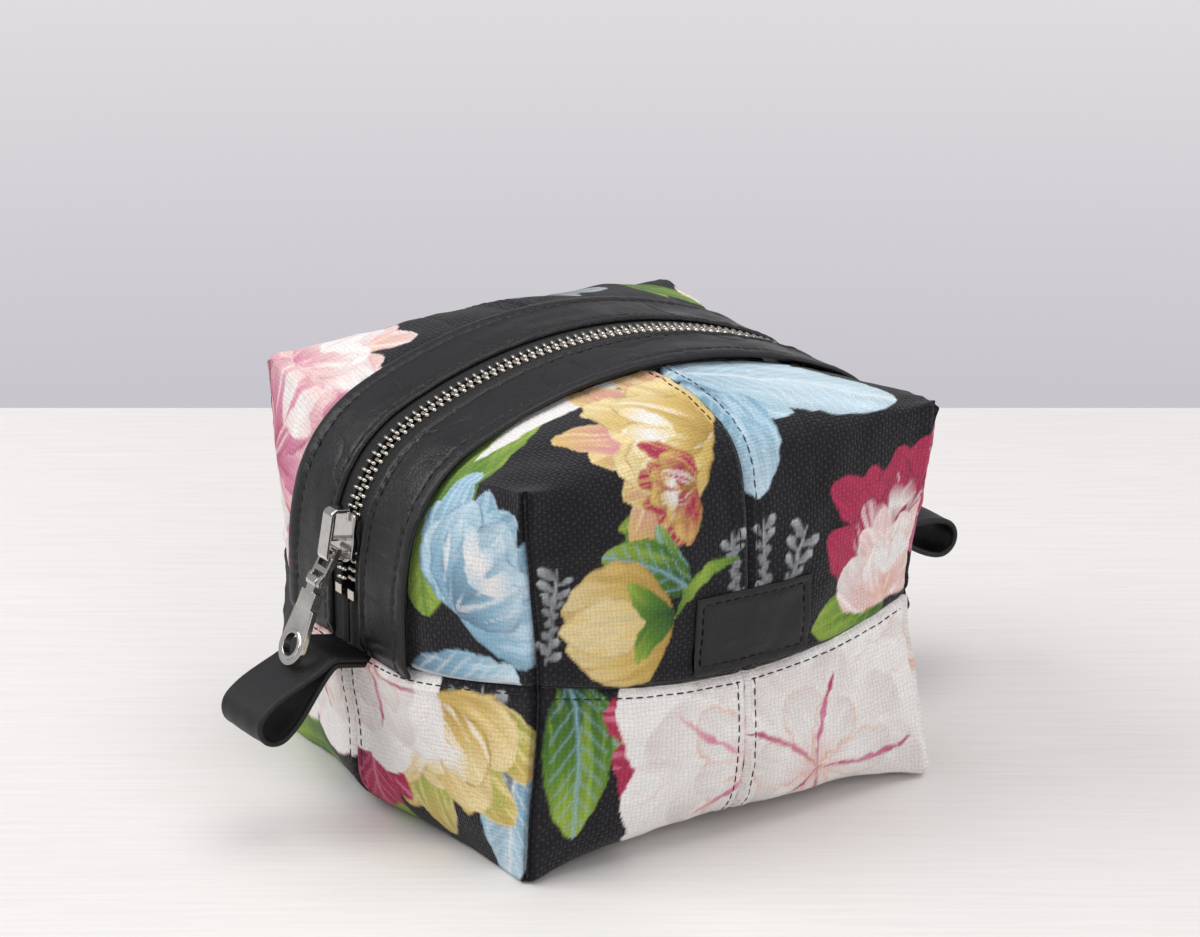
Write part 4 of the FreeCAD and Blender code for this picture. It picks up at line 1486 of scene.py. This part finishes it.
@dataclass
class Zip:
    """The two tapes with their rows of teeth, and the stops."""

    arch: Arch
    finishes: Finishes
    slider_at: float = 29.83
    first_tooth: float = 17.6
    pitch: float = 2.4
    count: int = 90
    tape_middle: float = 8.5

    def build(self) -> None:
        """Both sides of the zip, then the stops."""
        for face in Face:
            self.tape(face)
            self.row(face)
            stop = bevelled(f"end_stop_{word(face)}", [f"top_stop_{word(face)}"], self.finishes.teeth, 0.12)
            flexed(stop)
        stop = bevelled("box_stop", ["bottom_stop"], self.finishes.teeth, 0.15)
        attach(stop, "bag")

    def parted(self, u: Array) -> Array:
        """How far a row stands aside below the slider; the bare tapes meet again below the stops."""
        along = self.slider_at - (u + self.arch.half_length())
        return 1.3 * smooth(0, 3.5, along) - 2.9 * smooth(14.5, 18.0, along)

    def tape(self, face: Face) -> None:
        """One woven tape: a flat section carried along the arch, corded at its inner edge."""
        half = self.arch.half_length()
        u = np.linspace(-half, half, 420)
        centre, _, normal = self.arch.along(u)
        section = strap_profile(13.2, 0.5, 22)
        flat = self.tape_middle + section[None, :, 0]
        y = flat + self.parted(u)[:, None] * (1 - smooth(3, 9, flat))
        cord = 1 + 1.5 * ridge(y - 2.1, 0.7)
        rings = centre[:, None] + (section[None, :, 1] * cord)[..., None] * normal[:, None]
        rings[..., 1] = y * face.value
        piece = carried(f"tape_{word(face)}", rings, self.finishes.tape, u, flat[0])
        flexed(piece, f"zip_tape_{word(face)}")

    def row(self, face: Face) -> None:
        """One row of teeth: a small rounded section carried from jaws to head, copied along the arch.

        Each tooth's section is eight points at six stations; it is thick at the jaws, waisted, and round at
        the head, which passes the middle.
        """
        start = self.first_tooth + (1.2 if face is Face.FRONT else 0.0)
        s = start + self.pitch * np.arange(self.count)
        u = s - self.arch.half_length()
        centre, tangent, normal = self.arch.along(u)
        reach = np.array([-0.62, -0.35, 0.35, 1.0, 1.7, 2.7, 3.1])
        tall = np.array([0.45, 0.95, 1.15, 0.98, 1.22, 1.3, 0.9])
        wide = np.array([0.2, 0.46, 0.54, 0.40, 0.50, 0.52, 0.34])
        turn = np.arange(8) * math.pi / 4 + math.pi / 8
        a = wide[:, None] * np.sign(np.cos(turn)) * np.abs(np.cos(turn)) ** 0.6
        c = tall[:, None] * np.sign(np.sin(turn)) * np.abs(np.sin(turn)) ** 0.6
        b = (reach[None, :] + self.parted(u)[:, None])[..., None]
        points = (
            centre[:, None, None]
            + a[None, ..., None] * tangent[:, None, None]
            + c[None, ..., None] * normal[:, None, None]
        )
        points[..., 1] = b * face.value
        piece = closed_tubes(f"teeth_{word(face)}", points, self.finishes.teeth)
        flexed(piece, f"zip_teeth_{word(face)}")


def closed_tubes(name: str, rings: Array, material: Material) -> Piece:
    """Many short closed tubes in one mesh.

    Args:
        name: the piece's name.
        rings: points by tube, then station, then around.
        material: the finish.

    Returns:
        The new object, facing outwards.
    """
    many, rows, columns = rings.shape[:3]
    size = rows * columns
    starts = (np.arange(many) * size)[:, None, None]
    quads = (grid_faces(rows, columns, around=True)[None] + starts).reshape(-1, 4)
    ring = np.arange(columns)
    ends = rings[:, [0, -1]].mean(axis=2)
    points = np.concatenate([rings.reshape(-1, 3), ends.reshape(-1, 3)])
    low = np.stack([np.roll(ring, -1), ring, 0 * ring], 1)[None] + starts
    high = np.stack([ring, np.roll(ring, -1), 0 * ring], 1)[None] + starts + (rows - 1) * columns
    low[..., 2] = many * size + 2 * np.arange(many)[:, None]
    high[..., 2] = many * size + 2 * np.arange(many)[:, None] + 1
    triangles = np.concatenate([low.reshape(-1, 3), high.reshape(-1, 3)])
    return welded(mesh_object(name, points, quads, material, triangles=triangles), outward=True)


def bevelled(
    name: str, nodes: Sequence[str], material: Material, width: float
) -> Piece:
    """A merged copy of CAD nodes with its flats rejoined and its edges rounded.

    Args:
        name: the piece's name.
        nodes: the nodes that it stands for.
        material: its finish.
        width: how far each edge is rounded, in millimetres.

    Returns:
        The new object.
    """
    work = bmesh.new()
    for node in nodes:
        source = bpy.data.objects[node]
        copy = source.data.copy()
        copy.transform(source.matrix_world)
        work.from_mesh(copy)
        bpy.data.meshes.remove(copy)
    bmesh.ops.remove_doubles(work, verts=work.verts, dist=2e-6)
    bmesh.ops.dissolve_limit(work, angle_limit=math.radians(1.5), verts=work.verts, edges=work.edges)
    bmesh.ops.recalc_face_normals(work, faces=work.faces)
    for face in work.faces:
        face.smooth = True
    mesh = bpy.data.meshes.new(name)
    work.to_mesh(mesh)
    work.free()
    mesh.materials.append(material)
    piece = bpy.data.objects.new(name, mesh)
    bpy.context.scene.collection.objects.link(piece)
    bevel = piece.modifiers.new("edges", "BEVEL")
    bevel.width, bevel.segments, bevel.limit_method = width * MM, 3, "ANGLE"
    bevel.angle_limit = math.radians(32)
    even = piece.modifiers.new("flats", "WEIGHTED_NORMAL")
    even.keep_sharp = True
    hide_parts(*nodes)
    return piece


@dataclass
class Slider:
    """The slider with its cap and spring, the link on its pin, and the puller with a ringed hole."""

    finishes: Finishes

    def build(self) -> None:
        """Each piece on its own body."""
        for name, node, body, width in (
            ("slider_plates", "slider_body", "slider", 0.35),
            ("slider_bridge", "slider_cap", "slider", 0.4),
            ("slider_spring", "slider_lock_spring", "slider", 0.12),
            ("link", "pull_link", "link", 0.3),
            ("link_pin", "pull_pin", "link", 0.1),
            ("puller_blade", "puller", "puller", 0.25),
        ):
            piece = bevelled(name, [node], self.finishes.nickel, width)
            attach(piece, body)


@dataclass
class PullLoop:
    """A folded strap at one end: two layers out of the seam, opening into a bow."""

    side: Side
    finishes: Finishes
    root_x: float = 77.0
    root_z: float = 45.2
    neck: float = 9.0
    rise: float = 12.0
    bow: float = 22.0
    radius: float = 4.95
    width: float = 20.0
    thick: float = 1.35
    apart: float = 0.76

    def path(self) -> Array:
        """The strap's middle line in x and z: out along the neck and flank, round the end, and back.

        The flank opens by a smooth step, the end is a half circle, and the bow droops from the neck.
        """
        droop = math.radians(-38.0 if self.side is Side.LEFT else -16.0)
        out = np.linspace(0, self.bow, 60)
        flank = np.stack([out, self.apart + (self.radius - self.apart) * smooth(0, self.bow * 0.95, out)], 1)
        turn = np.linspace(math.pi / 2, -math.pi / 2, 34)[1:-1]
        end = np.stack([self.bow + self.radius * np.cos(turn), self.radius * np.sin(turn)], 1)
        bow = np.concatenate([flank, end, flank[::-1] * [1, -1]])
        cos, sin = math.cos(droop), math.sin(droop)
        bow = bow @ np.array([[cos, sin], [-sin, cos]])
        rise = math.radians(self.rise)
        along = np.array([math.cos(rise), math.sin(rise)])
        layer = self.apart * np.array([-along[1], along[0]])
        stem = np.linspace(-3.0, self.neck - 1.0, 18)[:, None] * along
        path = np.concatenate([stem + layer, bow + self.neck * along, stem[::-1] - layer])
        steps = np.concatenate([[0], np.cumsum(np.linalg.norm(np.diff(path, axis=0), axis=1))])
        even = np.linspace(0, steps[-1], 200)
        path = np.stack([np.interp(even, steps, path[:, k]) for k in (0, 1)], 1)
        for _ in range(14):
            path[1:-1] = (path[:-2] + 2 * path[1:-1] + path[2:]) / 4
        return path

    def build(self) -> None:
        """The strap, carried along its path, with the CAD loop hidden."""
        path = self.path()
        tangent = unit(np.gradient(path, axis=0))
        normal = np.stack([-tangent[:, 1], tangent[:, 0]], 1)
        section = strap_profile(self.width, self.thick, 30)
        y = section[:, 0]
        cup = 0.22 * noise(np.arange(len(path))[:, None] / 24, y[None] / 8, 4, 2) - 0.10 * (y / 10) ** 2
        up = section[None, :, 1] + cup + 0.12 * ridge(np.abs(y) - 9.0, 0.8) * np.sign(section[:, 1])
        flat = path[:, None] + up[..., None] * normal[:, None]
        rings = np.empty(flat.shape[:2] + (3,))
        rings[..., 0] = self.side.value * (self.root_x + flat[..., 0])
        rings[..., 1] = y
        rings[..., 2] = self.root_z + flat[..., 1]
        along = np.arange(len(path)) * 0.4
        name = word(self.side)
        piece = carried(f"loop_strap_{name}", rings, self.finishes.strap, along, y)
        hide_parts(f"pull_loop_{name}")
        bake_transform(piece)
        LOG.info("%s: %d points", piece.name, len(piece.data.vertices))


@dataclass
class Threads:
    """Every line of stitching, gathered into front, back and base groups, then made as small sunk capsules.
    """

    finishes: Finishes
    radius: float = 0.2
    share: float = 0.82
    lines: dict = field(default_factory=dict)

    def add(self, group: str, points: Array, normals: Array, pitch: float) -> None:
        """A line of stitches along points on a surface.

        Args:
            group: the group it belongs to.
            points: the line's points.
            normals: the surface's normals there.
            pitch: stitch length with its gap.
        """
        steps = np.concatenate([[0], np.cumsum(np.linalg.norm(np.diff(points, axis=0), axis=1))])
        count = max(1, int(steps[-1] / pitch))
        at = (np.arange(count) + 0.5) * steps[-1] / count
        reach = pitch * self.share / 2

        def read(values: Array, where: Array) -> Array:
            """Values of the line at distances along it."""
            return np.stack([np.interp(where, steps, values[:, k]) for k in range(3)], 1)

        first = read(points, np.maximum(at - reach, 0))
        last = read(points, np.minimum(at + reach, steps[-1]))
        self.lines.setdefault(group, []).append((first, last, unit(read(normals, at))))

    def build(self) -> None:
        """One mesh for each group: rings of six points, thin at both ends, which dip under the surface."""
        for group, parts in self.lines.items():
            first, last, up = (np.concatenate([part[k] for part in parts]) for k in range(3))
            along = unit(last - first)
            across = np.cross(along, up)
            t = np.array([0.0, 0.1, 0.32, 0.68, 0.9, 1.0])
            thick = self.radius * np.array([0.35, 0.85, 1.0, 1.0, 0.85, 0.35])
            lift = np.array([-0.3, -0.04, 0.06, 0.06, -0.04, -0.3])
            turn = np.arange(6) * math.pi / 3
            run, rise = (last - first)[:, None] * t[None, :, None], up[:, None] * lift[None, :, None]
            centre = first[:, None] + run + rise
            ring = (
                across[:, None, None] * np.cos(turn)[None, None, :, None]
                + up[:, None, None] * np.sin(turn)[None, None, :, None]
            )
            rings = centre[:, :, None] + ring * thick[None, :, None, None]
            piece = closed_tubes(group, rings, self.finishes.thread)
            if group.endswith("front"):
                flexed(piece)
            elif group.endswith("back"):
                flexed(piece)
            else:
                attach(piece, "bag")
            LOG.info("%s: %d stitches", group, len(first))


@dataclass
class Label:
    """The blank leather label sewn on the front wall over the horizontal seam."""

    shell: CanvasShell
    finishes: Finishes
    thick: float = 1.15
    margin: float = 2.2
    lift: float = 0.62
    lowest: float = 48.5

    def wall_y(self, x: Array, z: Array) -> Array:
        """The wall's y under each x and z, read from the canvas on either side of the centre seam."""
        form = self.shell.form
        f = np.clip((form.fold_z - z) / (form.fold_z - form.seam_mid), 0, 1)
        found = np.zeros(np.broadcast(x, z).shape)
        for side in Side:
            main = self.shell.sheets[True, Face.FRONT, side][0]
            s = np.abs(x) / form.corner(f, 5.5)[..., 0] * form.ear_at
            points, _ = main.place(np.maximum(s, 6.0), -f * (form.fold_z - form.seam_mid))
            here = (x * side.value > 0) | ((x == 0) & (side is Side.LEFT))
            found = np.where(here, points[..., 1], found)
        return found

    def build(self, threads: Threads) -> None:
        """The label's slab, laid on the wall, and its border stitches."""
        low, high = box_mm("label_patch")
        x = np.linspace(low[0], high[0], 90)
        section = strap_profile(high[2] - low[2], self.thick, 56, 0.45)
        middle = (low[2] + high[2]) / 2
        z = middle + section[:, 0] + 0 * x[:, None]
        wall = self.wall_y(x[:, None] + 0 * z, np.maximum(z, self.lowest))
        kernel = np.ones(9) / 9
        wall = np.apply_along_axis(lambda row: np.convolve(np.pad(row, 4, "edge"), kernel, "valid"), 0, wall)
        beside = np.minimum(x - low[0], high[0] - x)
        near = np.minimum(beside[:, None], np.minimum(z - low[2], high[2] - z))
        dent = -0.3 * ridge(near - self.margin, 0.6) + 0.16 * noise(x[:, None] / 7, z / 6, 8, 2)
        end = np.sqrt(np.clip(1 - (1 - np.clip(beside / 0.55, 0, 1)) ** 2, 0.02, 1))
        out = self.lift + section[None, :, 1] * end[:, None] + dent * (section[None, :, 1] > 0.1)
        rings = np.stack([x[:, None] + 0 * z, wall - out, z], -1)
        piece = carried("label", rings, self.finishes.leather, x, section[:, 0])
        flexed(piece, "label_patch")
        left, right = low[0] + self.margin, high[0] - self.margin
        foot, head = low[2] + self.margin, high[2] - self.margin
        corners = [(left, foot), (right, foot), (right, head), (left, head)]
        for (x0, z0), (x1, z1) in zip(corners, corners[1:] + corners[:1]):
            t = np.linspace(0, 1, 40)
            xs, zs = x0 + (x1 - x0) * t, z0 + (z1 - z0) * t
            ys = self.wall_y(xs, np.maximum(zs, self.lowest)) - self.lift - self.thick / 2 + 0.2
            threads.add("sewing_front", np.stack([xs, ys, zs], 1), np.tile([0, -1.0, 0], (40, 1)), 2.6)


def sew(shell: CanvasShell, strips: LeatherStrips, threads: Threads) -> None:
    """Lay the stitch lines of the canvas seams and the leather strips.

    Args:
        shell: the canvas quarters.
        strips: the leather strips.
        threads: where the lines are gathered.
    """
    for (upper, face, side), (main, end) in shell.sheets.items():
        cut = Quarter(shell.form, face, side, upper, CANVAS_EDGE if upper else 0.0)
        group = f"sewing_{word(face)}" if upper else "sewing_base"
        v = np.linspace(cut.top - 1, 1.5 - cut.down, 160)
        threads.add(group, *main.place(np.full_like(v, SEAM_STITCH), v), STITCH_PITCH)
        if not upper:
            s = np.linspace(1, cut.turn_at - 1, 120)
            threads.add(group, *main.place(s, np.full_like(s, LEVEL_STITCH - cut.down)), STITCH_PITCH)
            v = np.linspace(1, cut.top - 1, 100)
            threads.add(group, *end.place(np.full_like(v, cut.length - LEVEL_STITCH), v), STITCH_PITCH)
            for sheet, first, last in ((main, 1, cut.turn_at), (end, cut.turn_at, cut.length - 1)):
                s = np.linspace(first, last, 120)
                threads.add(group, *sheet.place(s, np.full_like(s, cut.top - SEAM_STITCH)), STITCH_PITCH)
    half = strips.arch.half_length()
    u = np.linspace(-half + 1, half - 1, 500)
    centre, _, normal = strips.arch.along(u)
    for face in Face:
        for y in (strips.outer_line, strips.inner_line):
            raised = strips.height(u, np.full_like(u, y), 3 + face.value)
            points = centre + (strips.high - 0.05 + raised)[:, None] * normal
            points[:, 1] = y * face.value
            threads.add(f"sewing_{word(face)}", points, normal, 3.0)


# ---- the studio ----


@dataclass(frozen=True)
class Studio:
    """The table, the pale surround, the lights and the camera."""

    eye: Triple = (-0.6111, -0.9373, 0.4835)
    yaw: float = 33.128
    pitch: float = 19.845
    lens: float = 135.97
    table: float = 0.279

    def build(self) -> None:
        """Set it all up."""
        self.camera()
        self.lights()
        self.surround()
        self.floor()

    def camera(self) -> None:
        """The camera, aimed by its yaw and pitch."""
        data = bpy.data.cameras.new("camera")
        data.lens, data.sensor_width = self.lens, 36.0
        data.clip_start, data.clip_end = 0.05, 20.0
        camera = bpy.data.objects.new("camera", data)
        yaw, pitch = math.radians(self.yaw), math.radians(self.pitch)
        level = math.cos(pitch)
        forward = Vector((math.sin(yaw) * level, math.cos(yaw) * level, -math.sin(pitch)))
        right = forward.cross(Vector((0, 0, 1))).normalized()
        up = right.cross(forward)
        turn = Matrix((right, up, -forward)).transposed().to_4x4()
        camera.matrix_world = Matrix.Translation(Vector(self.eye)) @ turn
        bpy.context.scene.collection.objects.link(camera)
        bpy.context.scene.camera = camera

    def lights(self) -> None:
        """A wide window light on the slider's side, a soft top light and a front fill."""
        for name, place, size, power in (
            ("window", (-0.85, 0.45, 0.95), 0.9, 9.0),
            ("top", (0.1, 0.0, 1.3), 1.1, 7.0),
            ("front", (-0.25, -1.5, 0.75), 1.2, 7.5),
            ("right", (1.2, -0.5, 0.6), 0.9, 3.0),
        ):
            data = bpy.data.lights.new(name, "AREA")
            data.shape, data.size, data.energy = "DISK", size, power
            light = bpy.data.objects.new(name, data)
            light.location = place
            aim = Vector((0, 0, 0.05)) - Vector(place)
            light.rotation_euler = aim.to_track_quat("-Z", "Y").to_euler()
            bpy.context.scene.collection.objects.link(light)

    def surround(self) -> None:
        """The world: grey-lilac below the level of the eye and soft white above."""
        world = bpy.data.worlds.new("surround")
        world.use_nodes = True
        bpy.context.scene.world = world
        graph = Graph(world.node_tree)
        around = graph.node("ShaderNodeTexCoord").outputs["Generated"]
        height = graph.node("ShaderNodeSeparateXYZ", {0: around}).outputs[2]
        low = graph.mix(graph.span(height, -0.34, -0.22), linear("c3c0c8"), linear("e3e1e3"))
        colour = graph.mix(graph.span(height, -0.05, 0.15), low, linear("a9a8ab"))
        back = next(n for n in world.node_tree.nodes if n.type == "BACKGROUND")
        graph.tree.links.new(colour, back.inputs["Color"])
        back.inputs["Strength"].default_value = 1.0

    def floor(self) -> None:
        """The table top: a pale painted board with faint brush lines, turned square to the camera."""
        half, yaw = self.table, math.radians(-self.yaw)
        turn = np.array([[math.cos(yaw), math.sin(yaw), 0], [-math.sin(yaw), math.cos(yaw), 0], [0, 0, 1]])
        x, y = np.meshgrid(np.linspace(-half, half, 3), np.linspace(-half, half, 3), indexing="ij")
        points = np.stack([x, y, 0 * x], -1).reshape(-1, 3) / MM @ turn
        finish = Finish("painted board", "", "e9e6e4")
        material, graph, coordinates, shader = finish.start()
        turned = graph.mapped(coordinates.outputs["Object"], (1.0, 1.0, 1.0), (0.0, 0.0, -yaw))
        long_ways = graph.mapped(turned, (22.0, 520.0, 1.0))
        grain = graph.noise(long_ways, 1.0, 6.0, 0.65)
        patch = graph.noise(turned, 9.0, 3.0)
        paint = graph.mix(graph.span(grain, 0.3, 0.75), linear("e8e5e3"), linear("dfdbd8"))
        paint = graph.mix(graph.span(patch, 0.5, 0.8, 0.0, 0.25), paint, linear("dcd7d3"))
        finish.join(graph, shader, Base_Color=paint, Roughness=graph.span(grain, 0.3, 0.7, 0.55, 0.75))
        finish.join(graph, shader, Normal=graph.bump(grain, 0.0003, 0.25))
        floor = mesh_object("floor", points, grid_faces(3, 3)[:, ::-1], material)
        welded(floor)
        if floor.data.polygons[0].normal.z < 0:
            floor.data.flip_normals()


# ---- all together ----


def main() -> None:
    """Build every sub-assembly round the frame, in order."""
    logging.basicConfig(level=logging.INFO, format="%(name)s: %(message)s")
    bpy.context.scene.view_settings.view_transform = "Standard"
    low, high = box_mm("leather_strip_front")
    arch = Arch(leg_x=round(high[0] - 1.5, 3), seam_z=round(low[2], 3), crown_z=round(high[2] - 1.5, 3))
    form = Form(arch)
    finishes = Finishes()
    Studio().build()
    shell = CanvasShell(form, finishes)
    shell.build()
    Lining(form, finishes).build()
    strips = LeatherStrips(arch, finishes)
    strips.build()
    Zip(arch, finishes).build()
    Slider(finishes).build()
    for side in Side:
        PullLoop(side, finishes).build()
    threads = Threads(finishes)
    Label(shell, finishes).build(threads)
    sew(shell, strips, threads)
    threads.build()
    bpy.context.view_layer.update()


if __name__ == "__main__":
    main()
